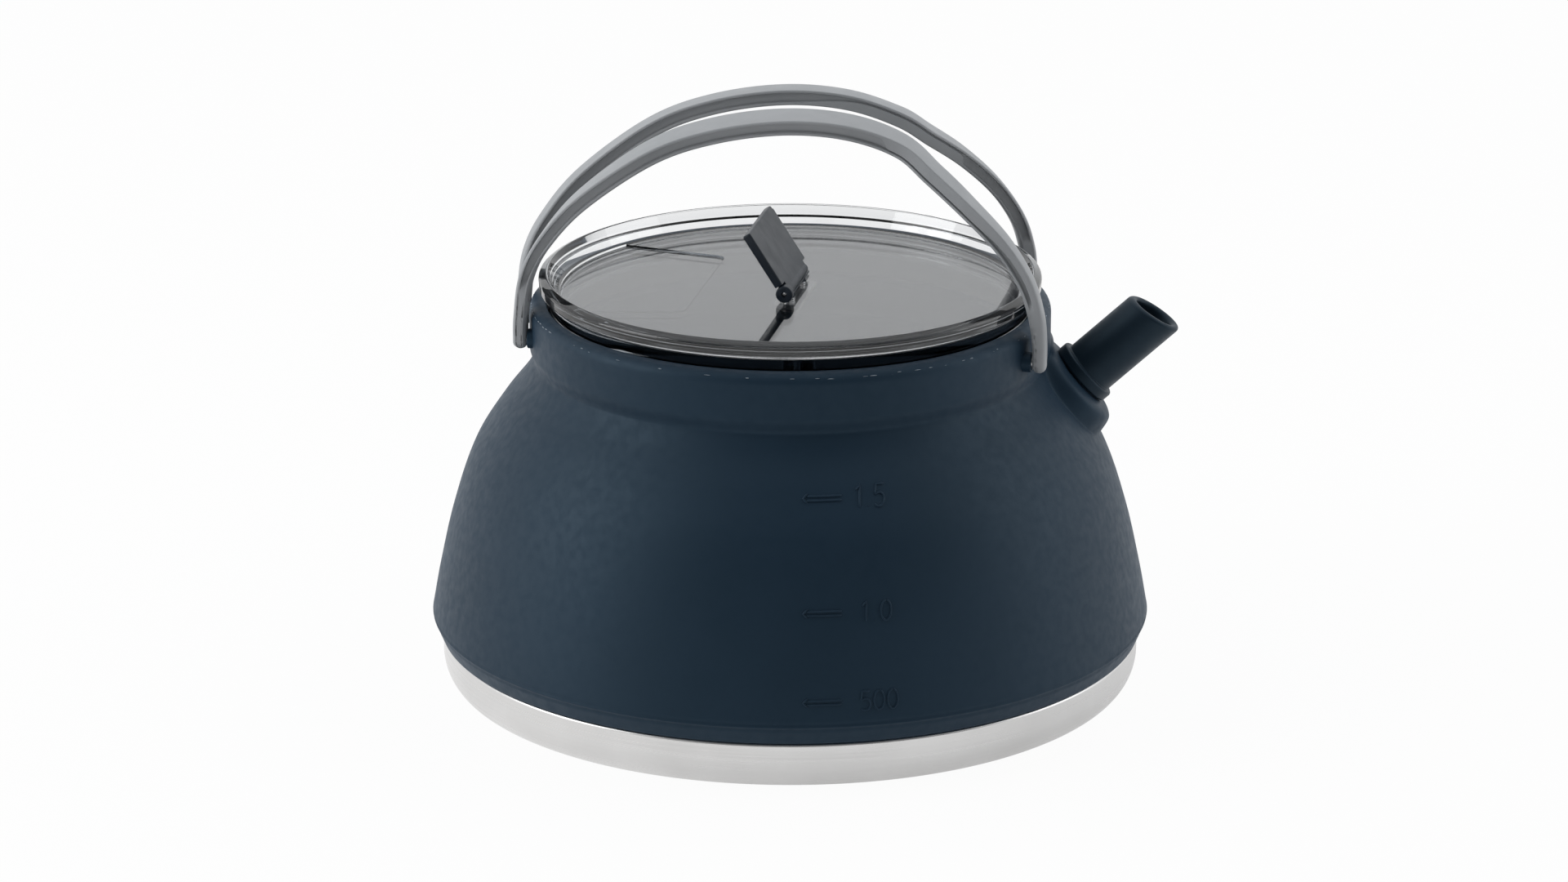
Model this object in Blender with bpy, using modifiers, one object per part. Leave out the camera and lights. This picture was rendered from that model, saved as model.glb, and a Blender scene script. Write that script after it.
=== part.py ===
"""Collapsible camping kettle: steel base pan, folding silicone body, clear lid and two bail handles.

Frame: origin at the centre of the base's underside, +X towards the spout, +Z up.
All sizes are in metres and all angles in degrees.
"""
import math

import bmesh
import bpy
from mathutils import Vector

COLLECTION = "collapsible_kettle"
CUTTERS = "cutters"

# Fits: two pieces that touch keep a small gap
GAP = 0.0003

# Smoothness of turned pieces, in steps per turn
LARGE_STEPS = 48
MEDIUM_STEPS = 20
SMALL_STEPS = 12
MERGE = 0.00001

# Steel base pan
BASE_RADIUS = 0.0884
BASE_BAND_HEIGHT = 0.0123
BASE_CORNER_RADIUS = 0.0058
PAN_WALL = 0.0010
PAN_RIM_HEIGHT = 0.0117
PAN_RIM_INSET = 0.0018
PAN_EDGE_CHAMFER = 0.0006
FOOT_WIDTH = 0.0048
FOOT_RUN_OUT = 0.0009

# Heat spreading disc under the pan floor
DISC_THICKNESS = 0.0010
DISC_RUN_OUT_GAP = 0.0008

# Silicone body
SKIN_WALL = 0.00215
BELLY_OVERHANG = 0.00255
BELLY_HEIGHT = 0.0175
HEM_OVERHANG = 0.0005
HEM_GRIP = 0.0020
HEM_GRIP_TAPER = 0.0050
NECK_ROOT_INSET = 0.0011
NECK_SHOULDER_RISE = 0.0050
NECK_TOP_HEIGHT = 0.0984
NECK_LENGTH = 0.0154
NECK_TOP_ROUND = 0.0020
FOLD_BOTTOM = 0.0340
FOLD_TOP_DROP = 0.0130
# Shape of the side: share of the rise from ridge to neck root, and share of the fall inwards there
SIDE_SHAPE = (
    (0.000, 0.000),
    (0.160, 0.073),
    (0.405, 0.213),
    (0.649, 0.420),
    (0.817, 0.678),
    (0.931, 0.898),
    (1.000, 1.000),
)
SIDE_SPANS_LOWER = 3
SIDE_SPANS_FOLD = 5
SIDE_SPANS_SHOULDER = 4
SIDE_SPANS_INSIDE = 6

# Rigid ring inside the neck, which carries the pivots and the lid
FRAME_WALL = 0.0017
FRAME_FOOT_RISE = 0.0013
FRAME_COVER = 0.0011
LEDGE_WIDTH = 0.0037
LEDGE_THICKNESS = 0.0009
NECK_LIP_CLEARANCE = 0.0010

# Lid, a clear dish with a skirt that drops into the neck
LID_TURN = -11.4
SKIRT_RADIUS = 0.0602
SKIRT_WALL = 0.0024
SKIRT_DEPTH = 0.0064
LID_RIM_RISE = 0.0067
LID_RIM_FLARE = 0.0029
LID_RIM_EDGE = 0.0012
LID_RIM_ROUND = 0.0005
LID_FLOOR_RISE = 0.0006
LID_FLOOR_INSET = 0.0032
LID_FLOOR_THICKNESS = 0.0018
POCKET_EDGE = 0.0216
POCKET_HALF_WIDTH = 0.0256
POCKET_DEPTH = 0.0004

# Lid gasket in the skirt's groove
GASKET_HEIGHT = 0.0014
GASKET_DEPTH = 0.0010
GASKET_RISE = 0.0015
GASKET_PROUD = 0.0007

# Folding knob flap and its bracket
KNOB_OFFSET_X = 0.0010
KNOB_OFFSET_Y = 0.0005
KNOB_AXIS_RISE = 0.0040
KNOB_WIDTH = 0.0270
KNOB_LENGTH = 0.0183
KNOB_THICKNESS = 0.0022
KNOB_LEAN = 33.0
KNOB_BARREL_RADIUS = 0.0021
KNOB_CORNER = 0.0012
KNOB_EDGE = 0.0004
LUG_THICKNESS = 0.0026
LUG_RADIUS = 0.00215
BRACKET_PAD = 0.0006
KNOB_PIN_RADIUS = 0.0008
POST_RADIUS = 0.0014
POST_SPACING = 0.0140
POST_HEAD_RADIUS = 0.0023
POST_HEAD_HEIGHT = 0.0009
RETAINER_LENGTH = 0.0220
RETAINER_WIDTH = 0.0070
RETAINER_THICKNESS = 0.0012

# Spout, a soft tube pushed through a boss on the shoulder
SPOUT_ELEVATION = 41.8
SPOUT_STANDOFF = 0.0073
SPOUT_DROP = 0.0044
SPOUT_RADIUS = 0.00735
SPOUT_BORE_RADIUS = 0.0050
SPOUT_REACH = 0.0236
SPOUT_CUT_TILT = 15.6
COLLAR_RADIUS = 0.0097
COLLAR_HEIGHT = 0.0030
COLLAR_ROUND = 0.0006
BOSS_RADIUS = 0.0134
BOSS_ROUND = 0.0025
BOSS_DEPTH = 0.0120
INNER_BOSS_RADIUS = 0.0100
INNER_BOSS_DEPTH = 0.0072
RING_RADIUS = 0.0095
RING_THICKNESS = 0.0015
BEAD_RADIUS = 0.0086
BEAD_LENGTH = 0.0014

# Bail handles: the front one is given, the rear one is its mirror image
PIVOT_DROP = 0.0074
PIVOT_LEFT = (-0.0673, -0.0102)
PIVOT_RIGHT = (0.0614, -0.0310)
LEG_WIDTH = 0.0052
LEG_THICKNESS = 0.0031
GRIP_WIDTH = 0.0098
GRIP_THICKNESS = 0.0040
GRIP_ROLL = 5.0
# Rise above the pivots where the section starts to grow, and the rise over which it grows
LEFT_WIDTH_GROWTH = (0.0110, 0.0480)
LEFT_THICKNESS_GROWTH = (0.0400, 0.0160)
RIGHT_WIDTH_GROWTH = (0.0250, 0.0310)
RIGHT_THICKNESS_GROWTH = (0.0120, 0.0140)
FLANGE_THICKNESS = 0.0009
CHANNEL_DEPTH = 0.0018
CHANNEL_START = 0.0125
CHANNEL_RUN_OUT = 0.0050
TIP_SECTIONS = 3
ROUTE_STEPS = 2
# Route of the front handle's centre line as (x, y, rise above the pivots)
HANDLE_ROUTE = (
    (-0.0673, -0.0101, 0.0060),
    (-0.0655, -0.0099, 0.0160),
    (-0.0606, -0.0103, 0.0246),
    (-0.0513, -0.0112, 0.0356),
    (-0.0347, -0.0124, 0.0478),
    (-0.0195, -0.0130, 0.0537),
    (-0.0020, -0.0132, 0.0565),
    (0.0140, -0.0133, 0.0553),
    (0.0270, -0.0140, 0.0508),
    (0.0352, -0.0187, 0.0442),
    (0.0439, -0.0240, 0.0370),
    (0.0526, -0.0270, 0.0286),
    (0.0589, -0.0290, 0.0203),
    (0.0608, -0.0305, 0.0120),
    (0.0614, -0.0310, 0.0050),
)

# Pivot pins and the bushes around them
PIN_RADIUS = 0.0015
PIN_LEG_DEPTH = 0.0006
PIN_FRAME_DEPTH = 0.0012
BUSH_RADIUS = 0.0025

# Worked out from the sizes above
NECK_ROOT_HEIGHT = NECK_TOP_HEIGHT - NECK_LENGTH
FOLD_TOP = NECK_ROOT_HEIGHT - FOLD_TOP_DROP
FRAME_BOTTOM = NECK_ROOT_HEIGHT + FRAME_FOOT_RISE
LID_TOP_HEIGHT = NECK_TOP_HEIGHT + LID_RIM_RISE
LID_FLOOR_HEIGHT = NECK_TOP_HEIGHT + LID_FLOOR_RISE
LID_RIM_RADIUS = SKIRT_RADIUS + LID_RIM_FLARE
LID_FLOOR_RADIUS = SKIRT_RADIUS - LID_FLOOR_INSET
SPOUT_CENTRE_HEIGHT = NECK_ROOT_HEIGHT - SPOUT_DROP
PIVOT_HEIGHT = NECK_TOP_HEIGHT - PIVOT_DROP
BELLY_RADIUS = BASE_RADIUS + BELLY_OVERHANG
HEM_RADIUS = BASE_RADIUS + HEM_OVERHANG
HEM_HEIGHT = BASE_BAND_HEIGHT + GAP
PAN_RIM_RADIUS = BASE_RADIUS - PAN_RIM_INSET
PAN_RIM_TOP = BASE_BAND_HEIGHT + PAN_RIM_HEIGHT
FOOT_RADIUS = BASE_RADIUS - BASE_CORNER_RADIUS
RECESS_RADIUS = FOOT_RADIUS - FOOT_WIDTH
PAN_FLOOR_UNDER = DISC_THICKNESS + GAP
DISC_RADIUS = RECESS_RADIUS - FOOT_RUN_OUT - DISC_RUN_OUT_GAP
LID_SEAT_HEIGHT = NECK_TOP_HEIGHT - SKIRT_DEPTH
LEDGE_TOP = LID_SEAT_HEIGHT - GAP
NECK_LIP_RADIUS = SKIRT_RADIUS + NECK_LIP_CLEARANCE
FRAME_INNER_RADIUS = NECK_LIP_RADIUS + GAP / 2
FRAME_OUTER_RADIUS = FRAME_INNER_RADIUS + FRAME_WALL
FRAME_TOP = NECK_TOP_HEIGHT - FRAME_COVER - GAP
NECK_RADIUS = FRAME_OUTER_RADIUS + GAP + SKIN_WALL
NECK_ROOT_RADIUS = NECK_RADIUS - NECK_ROOT_INSET
KNOB_AXIS_HEIGHT = LID_FLOOR_HEIGHT + KNOB_AXIS_RISE
BOSS_FACE = -COLLAR_HEIGHT / 2 - GAP
INNER_BOSS_FACE = BOSS_FACE - INNER_BOSS_DEPTH


def srgb(red, green, blue):
    """Linear colour from 0 to 255 display values."""
    channels = []
    for value in (red, green, blue):
        share = value / 255.0
        channels.append(share / 12.92 if share <= 0.04045 else ((share + 0.055) / 1.055) ** 2.4)
    return (*channels, 1.0)


def make_material(name, colour, roughness, metallic=0.0, alpha=1.0):
    """Principled material with one colour."""
    material = bpy.data.materials.new(name)
    material.use_nodes = True
    shader = material.node_tree.nodes["Principled BSDF"]
    shader.inputs["Base Color"].default_value = colour
    shader.inputs["Roughness"].default_value = roughness
    shader.inputs["Metallic"].default_value = metallic
    shader.inputs["Alpha"].default_value = alpha
    material.diffuse_color = (*colour[:3], alpha)
    return material


def link(obj, collection_name):
    """Put an object in the named collection."""
    bpy.data.collections[collection_name].objects.link(obj)
    return obj


def finish_part(obj, material):
    """Put an object among the parts, with its material and smooth shading."""
    obj.data.materials.append(material)
    link(obj, COLLECTION)
    obj.data.shade_smooth()
    return obj


def finish_cutter(obj):
    """Put an object among the cutters, out of sight."""
    link(obj, CUTTERS)
    obj.hide_render = True
    obj.display_type = "WIRE"
    return obj


def turned(name, profile, steps, closed=False):
    """Solid of revolution about local Z from (radius, height) points that run down its outer side."""
    last = len(profile) - 1
    edges = [(index, index + 1) for index in range(last)]
    if closed:
        edges.append((last, 0))
    mesh = bpy.data.meshes.new(name)
    mesh.from_pydata([(radius, 0.0, height) for radius, height in profile], edges, [])
    obj = bpy.data.objects.new(name, mesh)
    screw = obj.modifiers.new("turn", "SCREW")
    screw.axis = "Z"
    screw.steps = steps
    screw.render_steps = steps
    screw.use_merge_vertices = True
    screw.merge_threshold = MERGE
    screw.use_smooth_shade = True
    return obj


def rod(name, start, end, radius, sides=SMALL_STEPS):
    """Round bar between two points."""
    start = Vector(start)
    end = Vector(end)
    axis = end - start
    mesh = bpy.data.meshes.new(name)
    shape = bmesh.new()
    bmesh.ops.create_cone(
        shape, cap_ends=True, segments=sides, radius1=radius, radius2=radius, depth=axis.length
    )
    shape.to_mesh(mesh)
    shape.free()
    obj = bpy.data.objects.new(name, mesh)
    obj.location = (start + end) / 2
    obj.rotation_euler = axis.to_track_quat("Z", "Y").to_euler()
    return obj


def block(name, low, high):
    """Box between two corners."""
    low = Vector(low)
    high = Vector(high)
    mesh = bpy.data.meshes.new(name)
    shape = bmesh.new()
    bmesh.ops.create_cube(shape, size=1.0)
    bmesh.ops.scale(shape, vec=high - low, verts=shape.verts)
    shape.to_mesh(mesh)
    shape.free()
    obj = bpy.data.objects.new(name, mesh)
    obj.location = (low + high) / 2
    return obj


def combine(obj, other, operation):
    """Boolean of an object with a cutter."""
    modifier = obj.modifiers.new(other.name, "BOOLEAN")
    modifier.operation = operation
    modifier.solver = "EXACT"
    modifier.object = other


def hang_on(parent, *objects):
    """Parent objects, whose places are then in the parent's own axes."""
    for obj in objects:
        obj.parent = parent


def arc(centre_radius, centre_height, radius, start, end, spans):
    """Points on a round corner of a profile, from one angle to another."""
    points = []
    for index in range(spans + 1):
        angle = math.radians(start + (end - start) * index / spans)
        points.append((centre_radius + radius * math.cos(angle), centre_height + radius * math.sin(angle)))
    return points


def spline_value(pairs, x):
    """Smooth curve through (x, y) pairs, read at x."""
    last = len(pairs) - 1
    slopes = []
    for index in range(last + 1):
        before = pairs[max(index - 1, 0)]
        after = pairs[min(index + 1, last)]
        slopes.append((after[1] - before[1]) / (after[0] - before[0]))
    span = 0
    while span < last - 1 and x > pairs[span + 1][0]:
        span += 1
    x0, y0 = pairs[span]
    x1, y1 = pairs[span + 1]
    width = x1 - x0
    t = (x - x0) / width
    return (
        (2 * t**3 - 3 * t**2 + 1) * y0
        + (t**3 - 2 * t**2 + t) * width * slopes[span]
        + (3 * t**2 - 2 * t**3) * y1
        + (t**3 - t**2) * width * slopes[span + 1]
    )


def skin_radius(height):
    """Outer radius of the silicone side at a height between the belly ridge and the neck root."""
    share = (height - BELLY_HEIGHT) / (NECK_ROOT_HEIGHT - BELLY_HEIGHT)
    return BELLY_RADIUS - (BELLY_RADIUS - NECK_ROOT_RADIUS) * spline_value(SIDE_SHAPE, share)


def inner_radius(height):
    """Inner radius of the silicone side, one wall in from the outside."""
    step = 0.0005
    slope = (skin_radius(height + step) - skin_radius(height - step)) / (2 * step)
    return skin_radius(height) - SKIN_WALL * math.sqrt(1 + slope * slope)


def side_points(radius_at, top, bottom, spans):
    """(radius, height) points down the side between two heights."""
    points = []
    for index in range(spans + 1):
        height = top + (bottom - top) * index / spans
        points.append((radius_at(height), height))
    return points


def build_base_pan(material):
    """Pressed steel pan whose drawn-in rim stands up inside the silicone."""
    inner_band = BASE_RADIUS - PAN_WALL
    profile = [
        (0.0, PAN_FLOOR_UNDER + PAN_WALL),
        (RECESS_RADIUS - FOOT_RUN_OUT + PAN_WALL / 2, PAN_FLOOR_UNDER + PAN_WALL),
        (RECESS_RADIUS + PAN_WALL / 2, PAN_WALL),
    ]
    profile += arc(FOOT_RADIUS, BASE_CORNER_RADIUS, BASE_CORNER_RADIUS - PAN_WALL, -90, 0, 3)
    profile += [
        (inner_band, BASE_BAND_HEIGHT - PAN_WALL),
        (PAN_RIM_RADIUS - PAN_WALL, BASE_BAND_HEIGHT - PAN_WALL),
        (PAN_RIM_RADIUS - PAN_WALL, PAN_RIM_TOP),
        (PAN_RIM_RADIUS, PAN_RIM_TOP),
        (PAN_RIM_RADIUS, BASE_BAND_HEIGHT),
        (BASE_RADIUS - PAN_EDGE_CHAMFER, BASE_BAND_HEIGHT),
        (BASE_RADIUS, BASE_BAND_HEIGHT - PAN_EDGE_CHAMFER),
    ]
    profile += arc(FOOT_RADIUS, BASE_CORNER_RADIUS, BASE_CORNER_RADIUS, 0, -90, 4)
    profile += [
        (RECESS_RADIUS, 0.0),
        (RECESS_RADIUS - FOOT_RUN_OUT, PAN_FLOOR_UNDER),
        (0.0, PAN_FLOOR_UNDER),
    ]
    finish_part(turned("base_pan", profile, LARGE_STEPS), material)


def build_heat_spreader(material):
    """Flat disc in the recess under the pan."""
    profile = [
        (0.0, DISC_THICKNESS),
        (DISC_RADIUS, DISC_THICKNESS),
        (DISC_RADIUS, 0.0),
        (0.0, 0.0),
    ]
    finish_part(turned("heat_spreader", profile, LARGE_STEPS), material)


def build_lower_wall(material):
    """Foot of the silicone body, with a groove that grips the pan's rim."""
    groove_outer = PAN_RIM_RADIUS + GAP
    groove_inner = PAN_RIM_RADIUS - PAN_WALL - GAP
    groove_top = PAN_RIM_TOP + GAP
    grip_radius = groove_inner - HEM_GRIP
    profile = side_points(skin_radius, FOLD_BOTTOM, BELLY_HEIGHT, SIDE_SPANS_LOWER)
    profile += [
        (HEM_RADIUS, HEM_HEIGHT),
        (groove_outer, HEM_HEIGHT),
        (groove_outer, groove_top),
        (groove_inner, groove_top),
        (groove_inner, HEM_HEIGHT),
        (grip_radius, HEM_HEIGHT),
        (grip_radius, groove_top),
        (inner_radius(groove_top + HEM_GRIP_TAPER), groove_top + HEM_GRIP_TAPER),
        (inner_radius(FOLD_BOTTOM), FOLD_BOTTOM),
    ]
    finish_part(turned("body_lower_wall", profile, LARGE_STEPS, closed=True), material)


def build_fold_wall(material, boss_clearance):
    """Thin middle of the silicone body, which folds as the kettle collapses."""
    bottom = FOLD_BOTTOM + GAP
    top = FOLD_TOP - GAP
    profile = side_points(skin_radius, top, bottom, SIDE_SPANS_FOLD)
    profile += reversed(side_points(inner_radius, top, bottom, SIDE_SPANS_FOLD))
    obj = finish_part(turned("body_fold_wall", profile, LARGE_STEPS, closed=True), material)
    combine(obj, boss_clearance, "DIFFERENCE")


def neck_profile():
    """(radius, height) points from the neck's top edge down to its root."""
    points = arc(
        NECK_RADIUS - NECK_TOP_ROUND, NECK_TOP_HEIGHT - NECK_TOP_ROUND, NECK_TOP_ROUND, 90, 0, 3
    )
    points.append((NECK_RADIUS, NECK_ROOT_HEIGHT + NECK_SHOULDER_RISE))
    middle = NECK_ROOT_HEIGHT + NECK_SHOULDER_RISE / 2
    points.append((NECK_RADIUS - NECK_ROOT_INSET / 3, middle))
    return points


def build_shoulder(material, spout_axis, bush_holes):
    """Shoulder and neck of the silicone body, with the boss that holds the spout."""
    outer = [(0.0, NECK_TOP_HEIGHT)]
    outer += neck_profile()
    outer += side_points(skin_radius, NECK_ROOT_HEIGHT, FOLD_TOP, SIDE_SPANS_SHOULDER)
    outer.append((0.0, FOLD_TOP))
    obj = finish_part(turned("body_shoulder", outer, LARGE_STEPS), material)

    boss_profile = [(0.0, BOSS_FACE)]
    boss_profile += arc(BOSS_RADIUS - BOSS_ROUND, BOSS_FACE - BOSS_ROUND, BOSS_ROUND, 90, 0, 3)
    boss_profile += [(BOSS_RADIUS, BOSS_FACE - BOSS_DEPTH), (0.0, BOSS_FACE - BOSS_DEPTH)]
    boss = turned("boss_form", boss_profile, MEDIUM_STEPS)
    hang_on(spout_axis, finish_cutter(boss))
    combine(obj, boss, "UNION")

    groove_radius = FRAME_OUTER_RADIUS + GAP
    groove_top = FRAME_TOP + GAP
    groove_bottom = FRAME_BOTTOM - GAP
    above = NECK_TOP_HEIGHT + FRAME_COVER
    below = FOLD_TOP - BOSS_RADIUS
    cavity = [
        (0.0, above),
        (NECK_LIP_RADIUS, above),
        (NECK_LIP_RADIUS, groove_top),
        (groove_radius, groove_top),
        (groove_radius, groove_bottom),
        (NECK_ROOT_RADIUS - SKIN_WALL, groove_bottom),
    ]
    inside_top = NECK_ROOT_HEIGHT - SKIN_WALL / 2
    cavity += side_points(inner_radius, inside_top, below, SIDE_SPANS_INSIDE)
    cavity.append((0.0, below))
    inside = finish_cutter(turned("inside_form", cavity, LARGE_STEPS))
    combine(obj, inside, "DIFFERENCE")

    inner_boss = rod(
        "inner_boss_form",
        (0.0, 0.0, INNER_BOSS_FACE),
        (0.0, 0.0, BOSS_FACE - BOSS_ROUND - SKIN_WALL),
        INNER_BOSS_RADIUS,
        MEDIUM_STEPS,
    )
    hang_on(spout_axis, finish_cutter(inner_boss))
    combine(obj, inner_boss, "UNION")

    spout_hole = rod(
        "spout_hole",
        (0.0, 0.0, BOSS_FACE - BOSS_DEPTH),
        (0.0, 0.0, COLLAR_HEIGHT),
        SPOUT_RADIUS + GAP,
        MEDIUM_STEPS,
    )
    hang_on(spout_axis, finish_cutter(spout_hole))
    combine(obj, spout_hole, "DIFFERENCE")
    for hole in bush_holes:
        combine(obj, hole, "DIFFERENCE")


def build_boss_clearance(spout_axis):
    """Round gap around the spout's boss, cut from the wall below it."""
    clearance = rod(
        "boss_clearance",
        (0.0, 0.0, BOSS_FACE - BOSS_DEPTH - GAP),
        (0.0, 0.0, COLLAR_HEIGHT),
        BOSS_RADIUS + GAP,
        MEDIUM_STEPS,
    )
    hang_on(spout_axis, finish_cutter(clearance))
    return clearance


def build_neck_frame(material, pin_holes):
    """Rigid ring in the neck's groove, with the ledge that the lid's skirt stands on."""
    ledge_radius = FRAME_INNER_RADIUS - LEDGE_WIDTH
    profile = [
        (FRAME_OUTER_RADIUS, FRAME_TOP),
        (FRAME_OUTER_RADIUS, FRAME_BOTTOM),
        (FRAME_INNER_RADIUS, FRAME_BOTTOM),
        (FRAME_INNER_RADIUS, LEDGE_TOP - 2 * LEDGE_THICKNESS),
        (ledge_radius, LEDGE_TOP - LEDGE_THICKNESS),
        (ledge_radius, LEDGE_TOP),
        (FRAME_INNER_RADIUS, LEDGE_TOP),
        (FRAME_INNER_RADIUS, FRAME_TOP),
    ]
    obj = finish_part(turned("neck_frame", profile, LARGE_STEPS, closed=True), material)
    for hole in pin_holes:
        combine(obj, hole, "DIFFERENCE")


def build_spout(spout_axis, tube_material, ring_material):
    """Soft spout with its collar, cut off obliquely, and the ring that holds it from inside."""
    half_collar = COLLAR_HEIGHT / 2
    ring_bottom = INNER_BOSS_FACE - GAP - RING_THICKNESS
    bead_top = ring_bottom - GAP
    bead_bottom = bead_top - BEAD_LENGTH
    bead_taper = BEAD_RADIUS - SPOUT_RADIUS
    tip = SPOUT_REACH + 2 * SPOUT_RADIUS
    profile = [
        (SPOUT_RADIUS, tip),
        (SPOUT_RADIUS, half_collar),
        (COLLAR_RADIUS - COLLAR_ROUND, half_collar),
        (COLLAR_RADIUS, half_collar - COLLAR_ROUND),
        (COLLAR_RADIUS, COLLAR_ROUND - half_collar),
        (COLLAR_RADIUS - COLLAR_ROUND, -half_collar),
        (SPOUT_RADIUS, -half_collar),
        (SPOUT_RADIUS, bead_top),
        (BEAD_RADIUS, bead_top),
        (BEAD_RADIUS, bead_bottom + bead_taper / 2),
        (SPOUT_RADIUS, bead_bottom),
        (SPOUT_BORE_RADIUS, bead_bottom),
        (SPOUT_BORE_RADIUS, tip),
    ]
    tube = finish_part(turned("spout_tube", profile, MEDIUM_STEPS, closed=True), tube_material)
    reach = 2 * SPOUT_REACH
    saw = block("spout_saw", (-reach, -reach, 0.0), (reach, reach, 2 * reach))
    tilt = math.radians(SPOUT_CUT_TILT)
    saw.location = (-reach * math.sin(tilt), 0.0, SPOUT_REACH + reach * math.cos(tilt))
    saw.rotation_euler = (0.0, -tilt, 0.0)
    hang_on(spout_axis, finish_cutter(saw))
    combine(tube, saw, "DIFFERENCE")

    ring_profile = [
        (RING_RADIUS, ring_bottom + RING_THICKNESS),
        (RING_RADIUS, ring_bottom),
        (SPOUT_RADIUS + GAP, ring_bottom),
        (SPOUT_RADIUS + GAP, ring_bottom + RING_THICKNESS),
    ]
    ring = finish_part(
        turned("spout_retaining_ring", ring_profile, MEDIUM_STEPS, closed=True), ring_material
    )
    hang_on(spout_axis, tube, ring)


def build_lid_shell(material, lid_axis):
    """Clear dish with a recessed floor, a sloped flared rim and a skirt with the gasket's groove."""
    skirt_bottom = LID_SEAT_HEIGHT
    groove_low = skirt_bottom + GASKET_RISE - GAP
    groove_high = groove_low + GASKET_HEIGHT + 2 * GAP
    groove_radius = SKIRT_RADIUS - GASKET_DEPTH
    floor_under = LID_FLOOR_HEIGHT - LID_FLOOR_THICKNESS
    step_height = (NECK_TOP_HEIGHT + LID_TOP_HEIGHT) / 2
    step_radius = (SKIRT_RADIUS + LID_RIM_RADIUS) / 2
    crest = LID_RIM_RADIUS - LID_RIM_EDGE
    profile = [
        (0.0, LID_FLOOR_HEIGHT),
        (LID_FLOOR_RADIUS, LID_FLOOR_HEIGHT),
        (LID_FLOOR_RADIUS + 2 * LID_RIM_ROUND, LID_FLOOR_HEIGHT + LID_RIM_ROUND),
        (crest - LID_RIM_ROUND, LID_TOP_HEIGHT - LID_RIM_ROUND),
        (crest, LID_TOP_HEIGHT),
        (LID_RIM_RADIUS - LID_RIM_ROUND, LID_TOP_HEIGHT),
        (LID_RIM_RADIUS, LID_TOP_HEIGHT - LID_RIM_ROUND),
        (step_radius + LID_RIM_ROUND, step_height),
        (step_radius, step_height - LID_RIM_ROUND),
        (SKIRT_RADIUS, NECK_TOP_HEIGHT),
        (SKIRT_RADIUS, groove_high),
        (groove_radius, groove_high),
        (groove_radius, groove_low),
        (SKIRT_RADIUS, groove_low),
        (SKIRT_RADIUS, skirt_bottom),
        (SKIRT_RADIUS - SKIRT_WALL, skirt_bottom),
        (SKIRT_RADIUS - SKIRT_WALL, floor_under - LID_RIM_ROUND),
        (SKIRT_RADIUS - SKIRT_WALL - LID_RIM_ROUND, floor_under),
        (0.0, floor_under),
    ]
    shell = finish_part(turned("lid_shell", profile, LARGE_STEPS), material)

    floor_disc = rod(
        "pocket_form",
        (0.0, 0.0, LID_FLOOR_HEIGHT - POCKET_DEPTH),
        (0.0, 0.0, LID_FLOOR_HEIGHT + POCKET_DEPTH),
        LID_FLOOR_RADIUS - LID_RIM_ROUND - GAP,
        LARGE_STEPS,
    )
    window = block(
        "pocket_window",
        (-LID_RIM_RADIUS, -POCKET_HALF_WIDTH, LID_FLOOR_HEIGHT - LID_FLOOR_THICKNESS),
        (-POCKET_EDGE, POCKET_HALF_WIDTH, LID_TOP_HEIGHT),
    )
    hang_on(lid_axis, shell, finish_cutter(floor_disc), finish_cutter(window))
    combine(floor_disc, window, "INTERSECT")
    combine(shell, floor_disc, "DIFFERENCE")
    for side in (-1, 1):
        hole = rod(
            f"post_hole_{side + 2}",
            (KNOB_OFFSET_X, KNOB_OFFSET_Y + side * POST_SPACING / 2, floor_under - GAP),
            (KNOB_OFFSET_X, KNOB_OFFSET_Y + side * POST_SPACING / 2, LID_FLOOR_HEIGHT + GAP),
            POST_RADIUS + GAP,
        )
        hang_on(lid_axis, finish_cutter(hole))
        combine(shell, hole, "DIFFERENCE")


def build_gasket(material, lid_axis):
    """Soft ring in the skirt's groove, which seals against the frame."""
    low = LID_SEAT_HEIGHT + GASKET_RISE
    inner = SKIRT_RADIUS - GASKET_DEPTH + GAP
    outer = SKIRT_RADIUS + GASKET_PROUD
    profile = [
        (outer, low + GASKET_HEIGHT),
        (outer, low),
        (inner, low),
        (inner, low + GASKET_HEIGHT),
    ]
    gasket = finish_part(turned("lid_gasket", profile, LARGE_STEPS, closed=True), material)
    hang_on(lid_axis, gasket)


def build_knob_bracket(material, knob_axis):
    """Pad with two lugs on the lid's floor and two staked posts through it."""
    floor = GAP - KNOB_AXIS_RISE
    pad_top = floor + BRACKET_PAD
    half = KNOB_WIDTH / 2
    bracket = block("knob_bracket", (-LUG_RADIUS, -half, floor), (LUG_RADIUS, half, pad_top))
    finish_part(bracket, material)
    hang_on(knob_axis, bracket)
    under = -KNOB_AXIS_RISE - LID_FLOOR_THICKNESS
    head_top = under - RETAINER_THICKNESS - 2 * GAP
    for side in (-1, 1):
        outer = side * half
        inner = side * (half - LUG_THICKNESS)
        label = "near" if side < 0 else "far"
        foot = block(
            f"lug_foot_{label}",
            (-LUG_RADIUS, min(outer, inner), floor),
            (LUG_RADIUS, max(outer, inner), 0.0),
        )
        eye = rod(f"lug_eye_{label}", (0.0, inner, 0.0), (0.0, outer, 0.0), LUG_RADIUS, MEDIUM_STEPS)
        place = side * POST_SPACING / 2
        post = rod(f"post_{label}", (0.0, place, pad_top - GAP), (0.0, place, head_top - GAP), POST_RADIUS)
        head = rod(
            f"post_head_{label}",
            (0.0, place, head_top),
            (0.0, place, head_top - POST_HEAD_HEIGHT),
            POST_HEAD_RADIUS,
        )
        for form in (foot, eye, post, head):
            hang_on(knob_axis, finish_cutter(form))
            combine(bracket, form, "UNION")
    return bracket


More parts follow.
